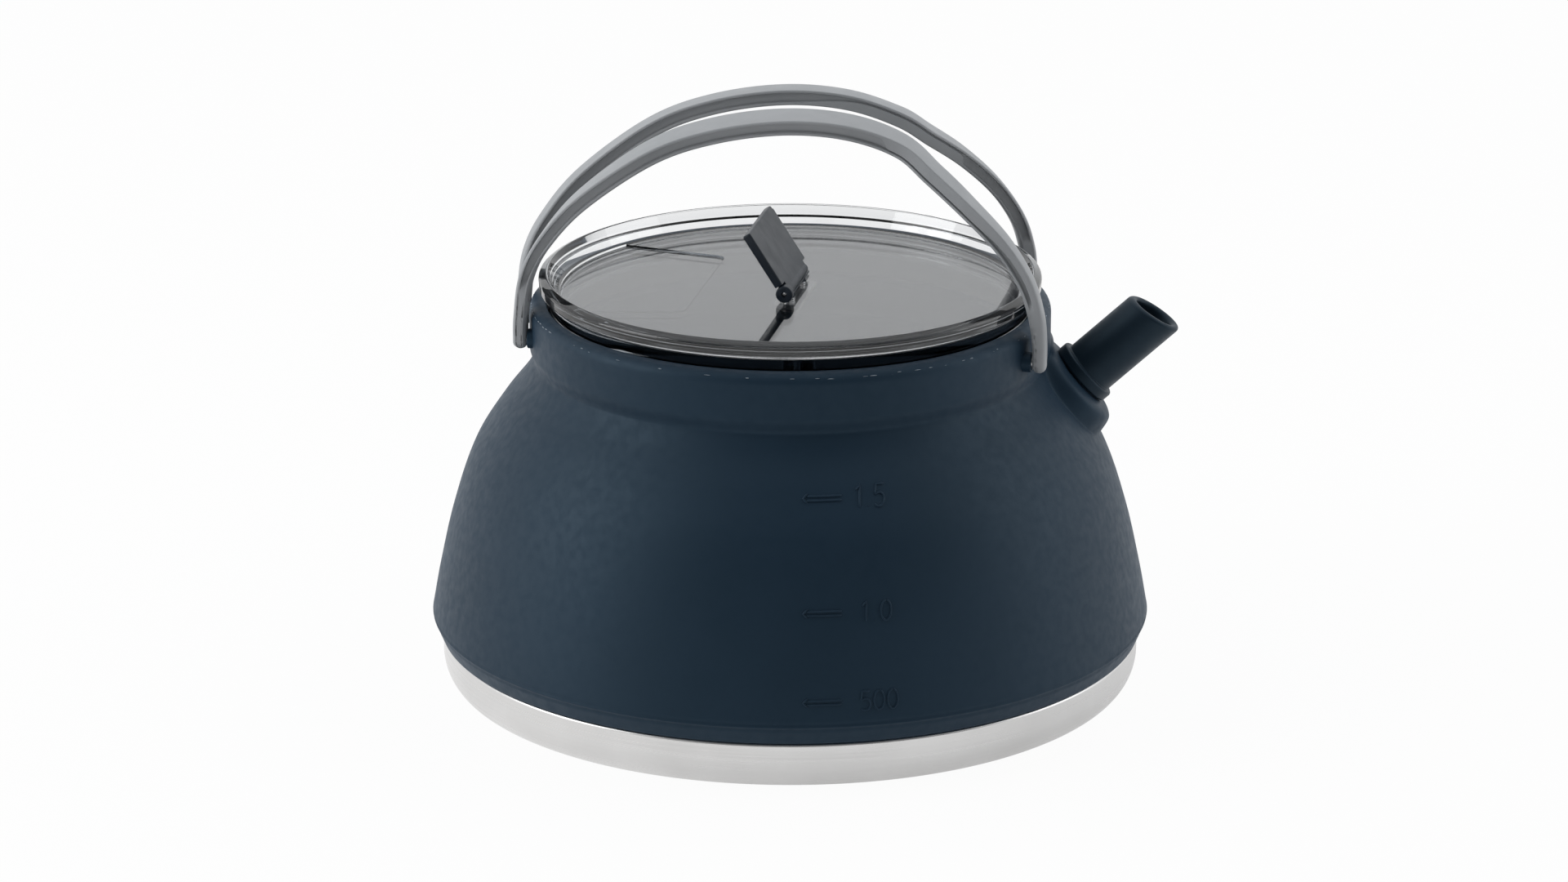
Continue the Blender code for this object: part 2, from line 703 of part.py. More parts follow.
def build_knob_retainer(material, knob_axis):
    """Plate under the lid's floor that the bracket's posts are staked over."""
    top = -KNOB_AXIS_RISE - LID_FLOOR_THICKNESS - GAP
    low = (-RETAINER_WIDTH / 2, -RETAINER_LENGTH / 2, top - RETAINER_THICKNESS)
    high = (RETAINER_WIDTH / 2, RETAINER_LENGTH / 2, top)
    plate = finish_part(block("knob_retainer", low, high), material)
    hang_on(knob_axis, plate)
    for side in (-1, 1):
        place = side * POST_SPACING / 2
        hole = rod(
            f"retainer_hole_{side + 2}",
            (0.0, place, low[2] - GAP),
            (0.0, place, high[2] + GAP),
            POST_RADIUS + GAP,
        )
        hang_on(knob_axis, finish_cutter(hole))
        combine(plate, hole, "DIFFERENCE")


def build_knob_flap(material, knob_axis, pin_material, bracket):
    """Flap that folds about a pin between the bracket's lugs."""
    half = KNOB_WIDTH / 2
    barrel_half = half - LUG_THICKNESS - GAP
    notch_top = LUG_RADIUS + GAP
    leaf = block(
        "knob_flap",
        (-KNOB_THICKNESS / 2, -half, notch_top),
        (KNOB_THICKNESS / 2, half, KNOB_LENGTH),
    )
    leaf_mesh = leaf.data
    leaf_mesh.transform(leaf.matrix_basis)
    leaf.location = (0.0, 0.0, 0.0)
    finish_part(leaf, material)
    leaf.rotation_euler = (0.0, -math.radians(KNOB_LEAN), 0.0)
    corners = leaf.modifiers.new("corners", "BEVEL")
    corners.width = KNOB_EDGE
    corners.segments = 2
    corners.limit_method = "ANGLE"
    root = block(
        "flap_root",
        (-KNOB_THICKNESS / 2, -barrel_half, 0.0),
        (KNOB_THICKNESS / 2, barrel_half, notch_top + KNOB_CORNER),
    )
    barrel = rod(
        "flap_barrel", (0.0, -barrel_half, 0.0), (0.0, barrel_half, 0.0), KNOB_BARREL_RADIUS, MEDIUM_STEPS
    )
    bore = rod(
        "flap_bore", (0.0, -half, 0.0), (0.0, half, 0.0), KNOB_PIN_RADIUS + GAP
    )
    hang_on(knob_axis, leaf)
    for form in (root, barrel, bore):
        hang_on(leaf, finish_cutter(form))
    combine(leaf, root, "UNION")
    combine(leaf, barrel, "UNION")
    combine(leaf, bore, "DIFFERENCE")
    lug_bore = rod(
        "lug_bore", (0.0, -half - GAP, 0.0), (0.0, half + GAP, 0.0), KNOB_PIN_RADIUS + GAP
    )
    hang_on(knob_axis, finish_cutter(lug_bore))
    combine(bracket, lug_bore, "DIFFERENCE")
    pin = finish_part(
        rod("knob_hinge_pin", (0.0, -half, 0.0), (0.0, half, 0.0), KNOB_PIN_RADIUS), pin_material
    )
    hang_on(knob_axis, pin)


def pivot_line(side):
    """Left and right pivot centres of one handle; side is 1 for the front one, -1 for the rear one."""
    left = Vector((PIVOT_LEFT[0], side * PIVOT_LEFT[1], PIVOT_HEIGHT))
    right = Vector((PIVOT_RIGHT[0], side * PIVOT_RIGHT[1], PIVOT_HEIGHT))
    return left, right


def reach_radius(start, direction, radius):
    """Distance along a level direction from a point outside to a circle about the kettle's axis."""
    along = start.x * direction.x + start.y * direction.y
    offset = start.x**2 + start.y**2 - radius**2
    return -along - math.sqrt(along**2 - offset)


def smooth_route(points, steps):
    """Points on a smooth curve through the route's own points."""
    last = len(points) - 1
    result = []
    for index in range(last):
        p0 = points[max(index - 1, 0)]
        p1 = points[index]
        p2 = points[index + 1]
        p3 = points[min(index + 2, last)]
        for step in range(steps):
            t = step / steps
            result.append(
                0.5
                * (
                    2 * p1
                    + (p2 - p0) * t
                    + (2 * p0 - 5 * p1 + 4 * p2 - p3) * t**2
                    + (3 * p1 - 3 * p2 + p3 - p0) * t**3
                )
            )
    result.append(points[last])
    return result


def smooth_step(value):
    """0 below 0, 1 above 1, smooth between."""
    value = min(max(value, 0.0), 1.0)
    return value * value * (3 - 2 * value)


def handle_section(width, thickness, channel):
    """Outline of the handle as (across, out) points: two flanges joined by a web."""
    half = width / 2
    top = thickness / 2
    web_top = top - FLANGE_THICKNESS
    web = half - channel
    return [
        (-half, top),
        (half, top),
        (half, web_top),
        (web, web_top),
        (web, -web_top),
        (half, -web_top),
        (half, -top),
        (-half, -top),
        (-half, -web_top),
        (-web, -web_top),
        (-web, web_top),
        (-half, web_top),
    ]


def build_handle(name, side, material):
    """One bail handle as a loft along its route, from one rounded tip to the other."""
    left, right = pivot_line(side)
    hinge = (right - left).normalized()
    across_leg = Vector((-hinge.y, hinge.x, 0.0)) * side
    roll = math.radians(GRIP_ROLL)
    across_grip = Vector((0.0, side * math.cos(roll), math.sin(roll)))
    route = [Vector((x, side * y, PIVOT_HEIGHT + rise)) for x, y, rise in HANDLE_ROUTE]
    centres = smooth_route([left] + route + [right], ROUTE_STEPS)
    tip_radius = LEG_WIDTH / 2

    stations = []
    for index in range(TIP_SECTIONS, 0, -1):
        angle = math.radians(90.0 * index / (TIP_SECTIONS + 0.25))
        stations.append((left - Vector((0, 0, tip_radius * math.sin(angle))), tip_radius * math.cos(angle)))
    stations += [(centre, None) for centre in centres]
    for index in range(1, TIP_SECTIONS + 1):
        angle = math.radians(90.0 * index / (TIP_SECTIONS + 0.25))
        stations.append((right - Vector((0, 0, tip_radius * math.sin(angle))), tip_radius * math.cos(angle)))

    shape = bmesh.new()
    rings = []
    last = len(stations) - 1
    for index, (centre, half_width) in enumerate(stations):
        before = stations[max(index - 1, 0)][0]
        after = stations[min(index + 1, last)][0]
        tangent = (after - before).normalized()
        rise = centre.z - PIVOT_HEIGHT
        width_growth = LEFT_WIDTH_GROWTH if centre.x < 0 else RIGHT_WIDTH_GROWTH
        thickness_growth = LEFT_THICKNESS_GROWTH if centre.x < 0 else RIGHT_THICKNESS_GROWTH
        share = smooth_step((rise - width_growth[0]) / width_growth[1])
        swell = smooth_step((rise - thickness_growth[0]) / thickness_growth[1])
        across = across_leg.lerp(across_grip, share)
        across = (across - tangent * across.dot(tangent)).normalized()
        out = across.cross(tangent) * side
        width = LEG_WIDTH + (GRIP_WIDTH - LEG_WIDTH) * share
        thickness = LEG_THICKNESS + (GRIP_THICKNESS - LEG_THICKNESS) * swell
        if half_width is not None:
            width = 2 * half_width
        channel = CHANNEL_DEPTH * smooth_step((rise - CHANNEL_START) / CHANNEL_RUN_OUT)
        section = handle_section(width, thickness, channel)
        rings.append(
            [shape.verts.new(centre - left + across * a + out * b) for a, b in section]
        )
    count = len(rings[0])
    for first, second in zip(rings, rings[1:]):
        for index in range(count):
            following = (index + 1) % count
            shape.faces.new((first[index], first[following], second[following], second[index]))
    shape.faces.new(reversed(rings[0]))
    shape.faces.new(rings[-1])
    bmesh.ops.recalc_face_normals(shape, faces=shape.faces)
    mesh = bpy.data.meshes.new(name)
    shape.to_mesh(mesh)
    shape.free()
    obj = bpy.data.objects.new(name, mesh)
    obj.location = left
    finish_part(obj, material)
    return obj


def build_pivots(materials):
    """Pins and bushes of both handles; returns the holes for the silicone and for the frame."""
    bush_holes = []
    pin_holes = []
    frame_skin = finish_cutter(
        turned(
            "frame_clearance",
            [
                (0.0, NECK_TOP_HEIGHT),
                (FRAME_OUTER_RADIUS + GAP, NECK_TOP_HEIGHT),
                (FRAME_OUTER_RADIUS + GAP, NECK_ROOT_HEIGHT),
                (0.0, NECK_ROOT_HEIGHT),
            ],
            LARGE_STEPS,
        )
    )
    for end_name, side in (("front", 1), ("rear", -1)):
        handle = build_handle(f"handle_{end_name}", side, materials["handle"])
        left, right = pivot_line(side)
        hinge = (right - left).normalized()
        for hand_name, centre, inward in (("left", left, hinge), ("right", right, -hinge)):
            label = f"{end_name}_{hand_name}"
            pin_start = centre - inward * PIN_LEG_DEPTH
            to_frame = reach_radius(centre, inward, FRAME_OUTER_RADIUS)
            pin_end = centre + inward * (to_frame + PIN_FRAME_DEPTH)
            pin = finish_part(rod(f"pivot_pin_{label}", pin_start, pin_end, PIN_RADIUS), materials["steel"])
            pin.data.shade_smooth()
            leg_hole = finish_cutter(
                rod(
                    f"leg_hole_{label}",
                    pin_start - inward * GAP,
                    centre + inward * LEG_THICKNESS,
                    PIN_RADIUS + GAP,
                )
            )
            combine(handle, leg_hole, "DIFFERENCE")
            bush_start = centre + inward * (LEG_THICKNESS / 2 + GAP)
            bush = finish_part(
                rod(f"pivot_bush_{label}", bush_start, pin_end, BUSH_RADIUS, MEDIUM_STEPS),
                materials["silicone"],
            )
            pin_hole = finish_cutter(
                rod(
                    f"pin_hole_{label}",
                    centre,
                    pin_end + inward * GAP,
                    PIN_RADIUS + GAP,
                )
            )
            combine(bush, frame_skin, "DIFFERENCE")
            combine(bush, pin_hole, "DIFFERENCE")
            pin_holes.append(pin_hole)
            bush_holes.append(
                finish_cutter(
                    rod(
                        f"bush_hole_{label}",
                        centre,
                        pin_end,
                        BUSH_RADIUS + GAP,
                        MEDIUM_STEPS,
                    )
                )
            )
    return bush_holes, pin_holes


def make_materials():
    """The kettle's finishes."""
    return {
        "steel": make_material("satin_steel", srgb(205, 204, 202), 0.32, metallic=1.0),
        "disc": make_material("disc_aluminium", srgb(190, 191, 192), 0.45, metallic=1.0),
        "silicone": make_material("navy_silicone", srgb(38, 52, 66), 0.55),
        "spout": make_material("dark_silicone", srgb(28, 38, 48), 0.50),
        "handle": make_material("grey_nylon", srgb(168, 171, 174), 0.45),
        "frame": make_material("grey_frame_plastic", srgb(90, 94, 98), 0.50),
        "lid": make_material("smoked_clear_plastic", srgb(120, 124, 126), 0.08, alpha=0.35),
        "gasket": make_material("dark_gasket_rubber", srgb(35, 37, 40), 0.60),
        "knob": make_material("navy_plastic", srgb(58, 66, 78), 0.42),
    }


def make_axis(name, location, rotation, parent=None):
    """Empty that marks an axis for the pieces hung on it."""
    axis = bpy.data.objects.new(name, None)
    axis.location = location
    axis.rotation_euler = rotation
    axis.parent = parent
    return link(axis, COLLECTION)


def main():
    """Build every piece of the kettle."""
    for obj in list(bpy.data.objects):
        bpy.data.objects.remove(obj, do_unlink=True)
    for name in (COLLECTION, CUTTERS):
        bpy.context.scene.collection.children.link(bpy.data.collections.new(name))
    materials = make_materials()
    spout_tilt = math.radians(90.0 - SPOUT_ELEVATION)
    spout_centre = (skin_radius(SPOUT_CENTRE_HEIGHT) + SPOUT_STANDOFF, 0.0, SPOUT_CENTRE_HEIGHT)
    spout_axis = make_axis("spout_axis", spout_centre, (0.0, spout_tilt, 0.0))
    lid_axis = make_axis("lid_axis", (0.0, 0.0, 0.0), (0.0, 0.0, math.radians(LID_TURN)))
    knob_axis = make_axis(
        "knob_axis", (KNOB_OFFSET_X, KNOB_OFFSET_Y, KNOB_AXIS_HEIGHT), (0.0, 0.0, 0.0), lid_axis
    )

    build_base_pan(materials["steel"])
    build_heat_spreader(materials["disc"])
    build_lower_wall(materials["silicone"])
    build_fold_wall(materials["silicone"], build_boss_clearance(spout_axis))
    bush_holes, pin_holes = build_pivots(materials)
    build_shoulder(materials["silicone"], spout_axis, bush_holes)
    build_neck_frame(materials["frame"], pin_holes)
    build_spout(spout_axis, materials["spout"], materials["frame"])
    build_lid_shell(materials["lid"], lid_axis)
    build_gasket(materials["gasket"], lid_axis)
    bracket = build_knob_bracket(materials["knob"], knob_axis)
    build_knob_retainer(materials["frame"], knob_axis)
    build_knob_flap(materials["knob"], knob_axis, materials["steel"], bracket)


main()
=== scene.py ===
"""Studio scene of a collapsible kettle with a folding silicone wall, a clear lid and two bails."""

import logging
import math
import random
from collections.abc import Sequence
from dataclasses import dataclass
from enum import Enum

import bmesh
import bpy
from mathutils import Matrix, Vector


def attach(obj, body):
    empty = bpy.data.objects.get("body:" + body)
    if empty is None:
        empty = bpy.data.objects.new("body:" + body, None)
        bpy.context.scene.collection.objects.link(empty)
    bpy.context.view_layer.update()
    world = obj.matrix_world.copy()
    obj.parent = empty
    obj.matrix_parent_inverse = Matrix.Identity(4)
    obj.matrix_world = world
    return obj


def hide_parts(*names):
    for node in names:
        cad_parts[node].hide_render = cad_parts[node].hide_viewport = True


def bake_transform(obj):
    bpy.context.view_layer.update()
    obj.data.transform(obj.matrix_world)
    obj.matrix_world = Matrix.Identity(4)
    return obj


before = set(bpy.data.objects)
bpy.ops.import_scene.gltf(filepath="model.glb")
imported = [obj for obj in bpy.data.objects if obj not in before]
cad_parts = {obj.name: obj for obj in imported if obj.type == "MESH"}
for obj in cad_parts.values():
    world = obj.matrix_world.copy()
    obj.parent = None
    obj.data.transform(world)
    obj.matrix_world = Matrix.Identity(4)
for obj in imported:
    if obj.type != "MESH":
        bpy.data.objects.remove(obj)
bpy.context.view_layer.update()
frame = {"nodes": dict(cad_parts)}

LOG = logging.getLogger("kettle")
SAME_PLACE = 1e-7

Point2 = tuple[float, float]
Point3 = tuple[float, float, float]
Colour = tuple[float, float, float, float]
Face = tuple[int, ...]
Profile = list[Point2]


class Body(Enum):
    """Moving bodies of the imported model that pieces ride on."""

    BASE = "base"
    NECK = "neck"
    FRONT_BAIL = "front_bail"
    REAR_BAIL = "rear_bail"
    LID_SEAL = "lid_seal"
    LID = "lid"
    KNOB = "knob"


class Side(Enum):
    """The two bails: the front one toward -Y, the rear one its mirror image."""

    FRONT = 1
    REAR = -1


# Small shape tools


def mesh_object(
    name: str, vertices: Sequence[Sequence[float]], faces: Sequence[Sequence[int]]
) -> bpy.types.Object:
    """Make an object from points and faces.

    Args:
        name: The object's name.
        vertices: Points in metres.
        faces: Vertex numbers of each face.

    Returns:
        The new object, with its faces turned outward and smooth.
    """
    mesh = bpy.data.meshes.new(name)
    mesh.from_pydata(list(vertices), [], list(faces))
    work = bmesh.new()
    work.from_mesh(mesh)
    bmesh.ops.recalc_face_normals(work, faces=work.faces)
    work.to_mesh(mesh)
    work.free()
    mesh.shade_smooth()
    obj = bpy.data.objects.new(name, mesh)
    bpy.context.scene.collection.objects.link(obj)
    return obj


def rounded(corners: Sequence[Point3], closed: bool, spans: int = 5) -> Profile:
    """Round the corners of a profile.

    Args:
        corners: (radius, height, fillet) of each corner.
        closed: Whether the last corner joins the first.
        spans: Steps in each fillet.

    Returns:
        The profile's points with an arc-like curve at each filleted corner.
    """
    count = len(corners)
    points: Profile = []
    for index, (r, z, fillet) in enumerate(corners):
        here = Vector((r, z))
        if fillet <= 0 or (not closed and index in (0, count - 1)):
            points.append((r, z))
            continue
        before = Vector(corners[index - 1][:2]) - here
        after = Vector(corners[(index + 1) % count][:2]) - here
        angle = before.angle(after)
        reach = fillet / math.tan(angle / 2) if angle < math.pi - 1e-4 else 0.0
        reach = min(reach, before.length * 0.499, after.length * 0.499)
        if reach < SAME_PLACE:
            points.append((r, z))
            continue
        radius = reach * math.tan(angle / 2)
        inward = (before.normalized() + after.normalized()).normalized()
        middle = here + inward * (radius / math.sin(angle / 2))
        start = here + before.normalized() * reach - middle
        end = here + after.normalized() * reach - middle
        sweep = start.angle_signed(end)
        for step in range(spans + 1):
            turn = -sweep * step / spans
            x = start.x * math.cos(turn) - start.y * math.sin(turn)
            y = start.x * math.sin(turn) + start.y * math.cos(turn)
            points.append((middle.x + x, middle.y + y))
    return points


def divided(profile: Profile, longest: float) -> Profile:
    """Divide the long sides of a closed profile.

    Args:
        profile: The profile.
        longest: Rough length of a side after it.

    Returns:
        The profile with more points on its long sides.
    """
    points: Profile = []
    for index, first in enumerate(profile):
        second = profile[(index + 1) % len(profile)]
        pieces = max(1, round(math.dist(first, second) / longest))
        for step in range(pieces):
            share = step / pieces
            x = first[0] + (second[0] - first[0]) * share
            y = first[1] + (second[1] - first[1]) * share
            points.append((x, y))
    return points


def lathe(name: str, profile: Profile, segments: int, closed: bool = False) -> bpy.types.Object:
    """Turn a profile about Z.

    Args:
        name: The object's name.
        profile: (radius, height) points; a point on the axis closes the form there.
        segments: Facets round the axis.
        closed: Whether the profile is a loop.

    Returns:
        The turned object.
    """
    vertices: list[Point3] = []
    rings: list[list[int]] = []
    for radius, height in profile:
        if radius < SAME_PLACE:
            rings.append([len(vertices)])
            vertices.append((0.0, 0.0, height))
            continue
        ring = []
        for step in range(segments):
            angle = 2 * math.pi * step / segments
            ring.append(len(vertices))
            vertices.append((radius * math.cos(angle), radius * math.sin(angle), height))
        rings.append(ring)
    faces: list[Face] = []
    pairs = list(zip(rings, rings[1:]))
    if closed:
        pairs.append((rings[-1], rings[0]))
    for first, second in pairs:
        for step in range(segments):
            following = (step + 1) % segments
            if len(first) == 1 and len(second) == 1:
                continue
            if len(first) == 1:
                faces.append((first[0], second[step], second[following]))
            elif len(second) == 1:
                faces.append((first[step], second[0], first[following]))
            else:
                faces.append((first[step], second[step], second[following], first[following]))
    return mesh_object(name, vertices, faces)


def loft(name: str, rings: Sequence[Sequence[Vector]], capped: bool = True) -> bpy.types.Object:
    """Join rings of equal length into one skin.

    Args:
        name: The object's name.
        rings: Points of each ring, in order.
        capped: Whether the two end rings are filled.

    Returns:
        The lofted object.
    """
    count = len(rings[0])
    vertices = [tuple(point) for ring in rings for point in ring]
    faces: list[Face] = []
    for level in range(len(rings) - 1):
        base = level * count
        for index in range(count):
            following = (index + 1) % count
            faces.append((base + index, base + following, base + count + following, base + count + index))
    if capped:
        faces.append(tuple(reversed(range(count))))
        last = (len(rings) - 1) * count
        faces.append(tuple(range(last, last + count)))
    return mesh_object(name, vertices, faces)


def place(obj: bpy.types.Object, matrix: Matrix) -> bpy.types.Object:
    """Move an object's mesh into the kettle's axes.

    Args:
        obj: The object.
        matrix: From the mesh's own axes to the kettle's.

    Returns:
        The same object.
    """
    obj.data.transform(matrix)
    if matrix.determinant() < 0:
        obj.data.flip_normals()
    return obj


def even_normals(obj: bpy.types.Object, sharp_angle: float = 40.0) -> bpy.types.Object:
    """Shade an object so that flat faces look flat next to their small fillets.

    Args:
        obj: The object.
        sharp_angle: Edges over this many degrees stay crisp.

    Returns:
        The same object.
    """
    obj.data.set_sharp_from_angle(angle=math.radians(sharp_angle))
    weigh = obj.modifiers.new("even_normals", "WEIGHTED_NORMAL")
    weigh.keep_sharp = True
    weigh.weight = 80
    return obj


def carve(obj: bpy.types.Object, cutter: bpy.types.Object, operation: str = "DIFFERENCE") -> bpy.types.Object:
    """Apply a Boolean and drop the cutter.

    Args:
        obj: The object that is cut or added to.
        cutter: The other form.
        operation: DIFFERENCE, UNION or INTERSECT.

    Returns:
        The cut object.
    """
    cut = obj.modifiers.new("cut", "BOOLEAN")
    cut.operation = operation
    cut.solver = "EXACT"
    cut.object = cutter
    bpy.context.view_layer.update()
    graph = bpy.context.evaluated_depsgraph_get()
    mesh = bpy.data.meshes.new_from_object(obj.evaluated_get(graph))
    obj.modifiers.clear()
    old = obj.data
    obj.data = mesh
    bpy.data.meshes.remove(old)
    bpy.data.objects.remove(cutter, do_unlink=True)
    mesh.shade_smooth()
    return obj


def slab(name: str, low: Point3, high: Point3, edge: float, segments: int = 3) -> bpy.types.Object:
    """Make a block with rounded edges.

    Args:
        name: The object's name.
        low: Lowest corner.
        high: Highest corner.
        edge: Radius of its edges.
        segments: Steps in each rounded edge.

    Returns:
        The block.
    """
    mesh = bpy.data.meshes.new(name)
    work = bmesh.new()
    bmesh.ops.create_cube(work, size=1.0)
    bmesh.ops.scale(work, vec=Vector(high) - Vector(low), verts=work.verts)
    bmesh.ops.translate(work, vec=(Vector(high) + Vector(low)) / 2, verts=work.verts)
    if edge > 0:
        bmesh.ops.bevel(work, geom=work.edges[:], offset=edge, segments=segments, affect="EDGES", profile=0.5)
    work.to_mesh(mesh)
    work.free()
    mesh.shade_smooth()
    obj = bpy.data.objects.new(name, mesh)
    bpy.context.scene.collection.objects.link(obj)
    return obj


def bar(
    name: str, start: Sequence[float], end: Sequence[float], radius: float, edge: float
) -> bpy.types.Object:
    """Make a round bar with rounded ends.

    Args:
        name: The object's name.
        start: Middle of one end.
        end: Middle of the other end.
        radius: The bar's radius.
        edge: Fillet at the ends.

    Returns:
        The bar.
    """
    axis = Vector(end) - Vector(start)
    corners = [(0.0, axis.length, 0.0), (radius, axis.length, edge), (radius, 0.0, edge), (0.0, 0.0, 0.0)]
    obj = lathe(name, rounded(corners, closed=False, spans=4), 40)
    turn = axis.to_track_quat("Z", "Y").to_matrix().to_4x4()
    return place(obj, Matrix.Translation(start) @ turn)


def smooth_step(value: float) -> float:
    """0 below 0, 1 above 1, smooth between."""
    value = min(max(value, 0.0), 1.0)
    return value * value * (3 - 2 * value)


def ease(value: float, start: float, run: float) -> float:
    """0 up to start, 1 from start + run on, smooth between."""
    return smooth_step((value - start) / run)


def smooth_max(a: float, b: float, width: float) -> float:
    """Larger of two values, with a rounded change-over of the given width."""
    share = max(width - abs(a - b), 0.0) / width
    return max(a, b) + share * share * width / 4


def along(pairs: Sequence[Point2], x: float) -> float:
    """Read a smooth curve drawn through (x, y) pairs.

    Args:
        pairs: The pairs, in order of x.
        x: Where to read it; past either end the curve stays level.

    Returns:
        The curve's y at x.
    """
    last = len(pairs) - 1
    slopes = []
    for index in range(last + 1):
        before = pairs[max(index - 1, 0)]
        after = pairs[min(index + 1, last)]
        slopes.append((after[1] - before[1]) / (after[0] - before[0]))
    span = 0
    while span < last - 1 and x > pairs[span + 1][0]:
        span += 1
    x0, y0 = pairs[span]
    x1, y1 = pairs[span + 1]
    width = x1 - x0
    t = min(max((x - x0) / width, 0.0), 1.0)
    rise = (2 * t**3 - 3 * t**2 + 1) * y0 + (3 * t**2 - 2 * t**3) * y1
    return rise + width * ((t**3 - 2 * t**2 + t) * slopes[span] + (t**3 - t**2) * slopes[span + 1])


def bow(centre: Point2, reach: Point2, angles: Point2, steps: int) -> list[Point2]:
    """Draw part of an ellipse.

    Args:
        centre: Its middle.
        reach: Its half width and half height.
        angles: First and last angle, in degrees.
        steps: Steps between them.

    Returns:
        The curve's points, both ends with them.
    """
    points: list[Point2] = []
    for index in range(steps + 1):
        angle = math.radians(angles[0] + (angles[1] - angles[0]) * index / steps)
        points.append((centre[0] + reach[0] * math.cos(angle), centre[1] + reach[1] * math.sin(angle)))
    return points


def route_points(points: Sequence[Vector], steps: int) -> list[Vector]:
    """Run a smooth curve through a route.

    Args:
        points: The route's own points, in order.
        steps: Steps between one point and the next.

    Returns:
        The curve's points, both ends with them.
    """
    last = len(points) - 1
    result: list[Vector] = []
    for index in range(last):
        p0 = points[max(index - 1, 0)]
        p1 = points[index]
        p2 = points[index + 1]
        p3 = points[min(index + 2, last)]
        for step in range(steps):
            t = step / steps
            linear = 2 * p1 + (p2 - p0) * t
            square = (2 * p0 - 5 * p1 + 4 * p2 - p3) * t**2
            cube = (3 * p1 - 3 * p2 + p3 - p0) * t**3
            result.append(0.5 * (linear + square + cube))
    result.append(points[last])
    return result


def srgb(red: float, green: float, blue: float) -> Colour:
    """Turn a screen colour into a linear one.

    Args:
        red: Red, 0 to 255.
        green: Green, 0 to 255.
        blue: Blue, 0 to 255.

    Returns:
        The linear colour, opaque.
    """
    channels = []
    for value in (red, green, blue):
        share = value / 255
        channels.append(share / 12.92 if share <= 0.04045 else ((share + 0.055) / 1.055) ** 2.4)
    return (channels[0], channels[1], channels[2], 1.0)


# Finishes


class NodeTools:
    """A node tree, with short calls for making and joining its nodes."""

    def __init__(self, tree: bpy.types.NodeTree) -> None:
        """Take up a node tree.

        Args:
            tree: The tree of a material or a world.
        """
        self.tree = tree

    def add(self, kind: str, **values: object) -> bpy.types.Node:
        """Add a node.

        Args:
            kind: The node's Blender type.
            **values: Its settings, or its socket values by socket name with spaces as underscores.

        Returns:
            The new node.
        """
        node = self.tree.nodes.new(kind)
        for key, value in values.items():
            socket = node.inputs.get(key.replace("_", " "))
            if socket is not None:
                socket.default_value = value
            else:
                setattr(node, key, value)
        return node

    def join(self, source: bpy.types.NodeSocket, target: bpy.types.NodeSocket) -> None:
        """Link one socket to another."""
        self.tree.links.new(source, target)

    def map_range(
        self, source: bpy.types.NodeSocket, taken: Point2, given: Point2, smooth: bool = False
    ) -> bpy.types.NodeSocket:
        """Map one range of values onto another.

        Args:
            source: The value.
            taken: First and last value of the range that it is read in.
            given: What those two become.
            smooth: Whether the change eases in and out.

        Returns:
            The mapped value's socket.
        """
        node = self.add("ShaderNodeMapRange", interpolation_type="SMOOTHSTEP" if smooth else "LINEAR")
        for key, value in zip(("From Min", "From Max", "To Min", "To Max"), (*taken, *given)):
            node.inputs[key].default_value = value
        self.join(source, node.inputs["Value"])
        return node.outputs["Result"]

    def combine(
        self, operation: str, first: bpy.types.NodeSocket, second: bpy.types.NodeSocket | float
    ) -> bpy.types.NodeSocket:
        """Work out one value from two.

        Args:
            operation: The Math node's operation.
            first: The first value.
            second: The second value, or a plain number.

        Returns:
            The result's socket.
        """
        node = self.add("ShaderNodeMath", operation=operation)
        self.join(first, node.inputs[0])
        if isinstance(second, float):
            node.inputs[1].default_value = second
        else:
            self.join(second, node.inputs[1])
        return node.outputs["Value"]

    def mix_shaders(
        self, share: bpy.types.NodeSocket, first: bpy.types.NodeSocket, second: bpy.types.NodeSocket
    ) -> bpy.types.NodeSocket:
        """Mix two shaders.

        Args:
            share: How much of the second one shows.
            first: The first shader.
            second: The second shader.

        Returns:
            The mixed shader's socket.
        """
        node = self.add("ShaderNodeMixShader")
        self.join(share, node.inputs["Fac"])
        self.join(first, node.inputs[1])
        self.join(second, node.inputs[2])
        return node.outputs["Shader"]


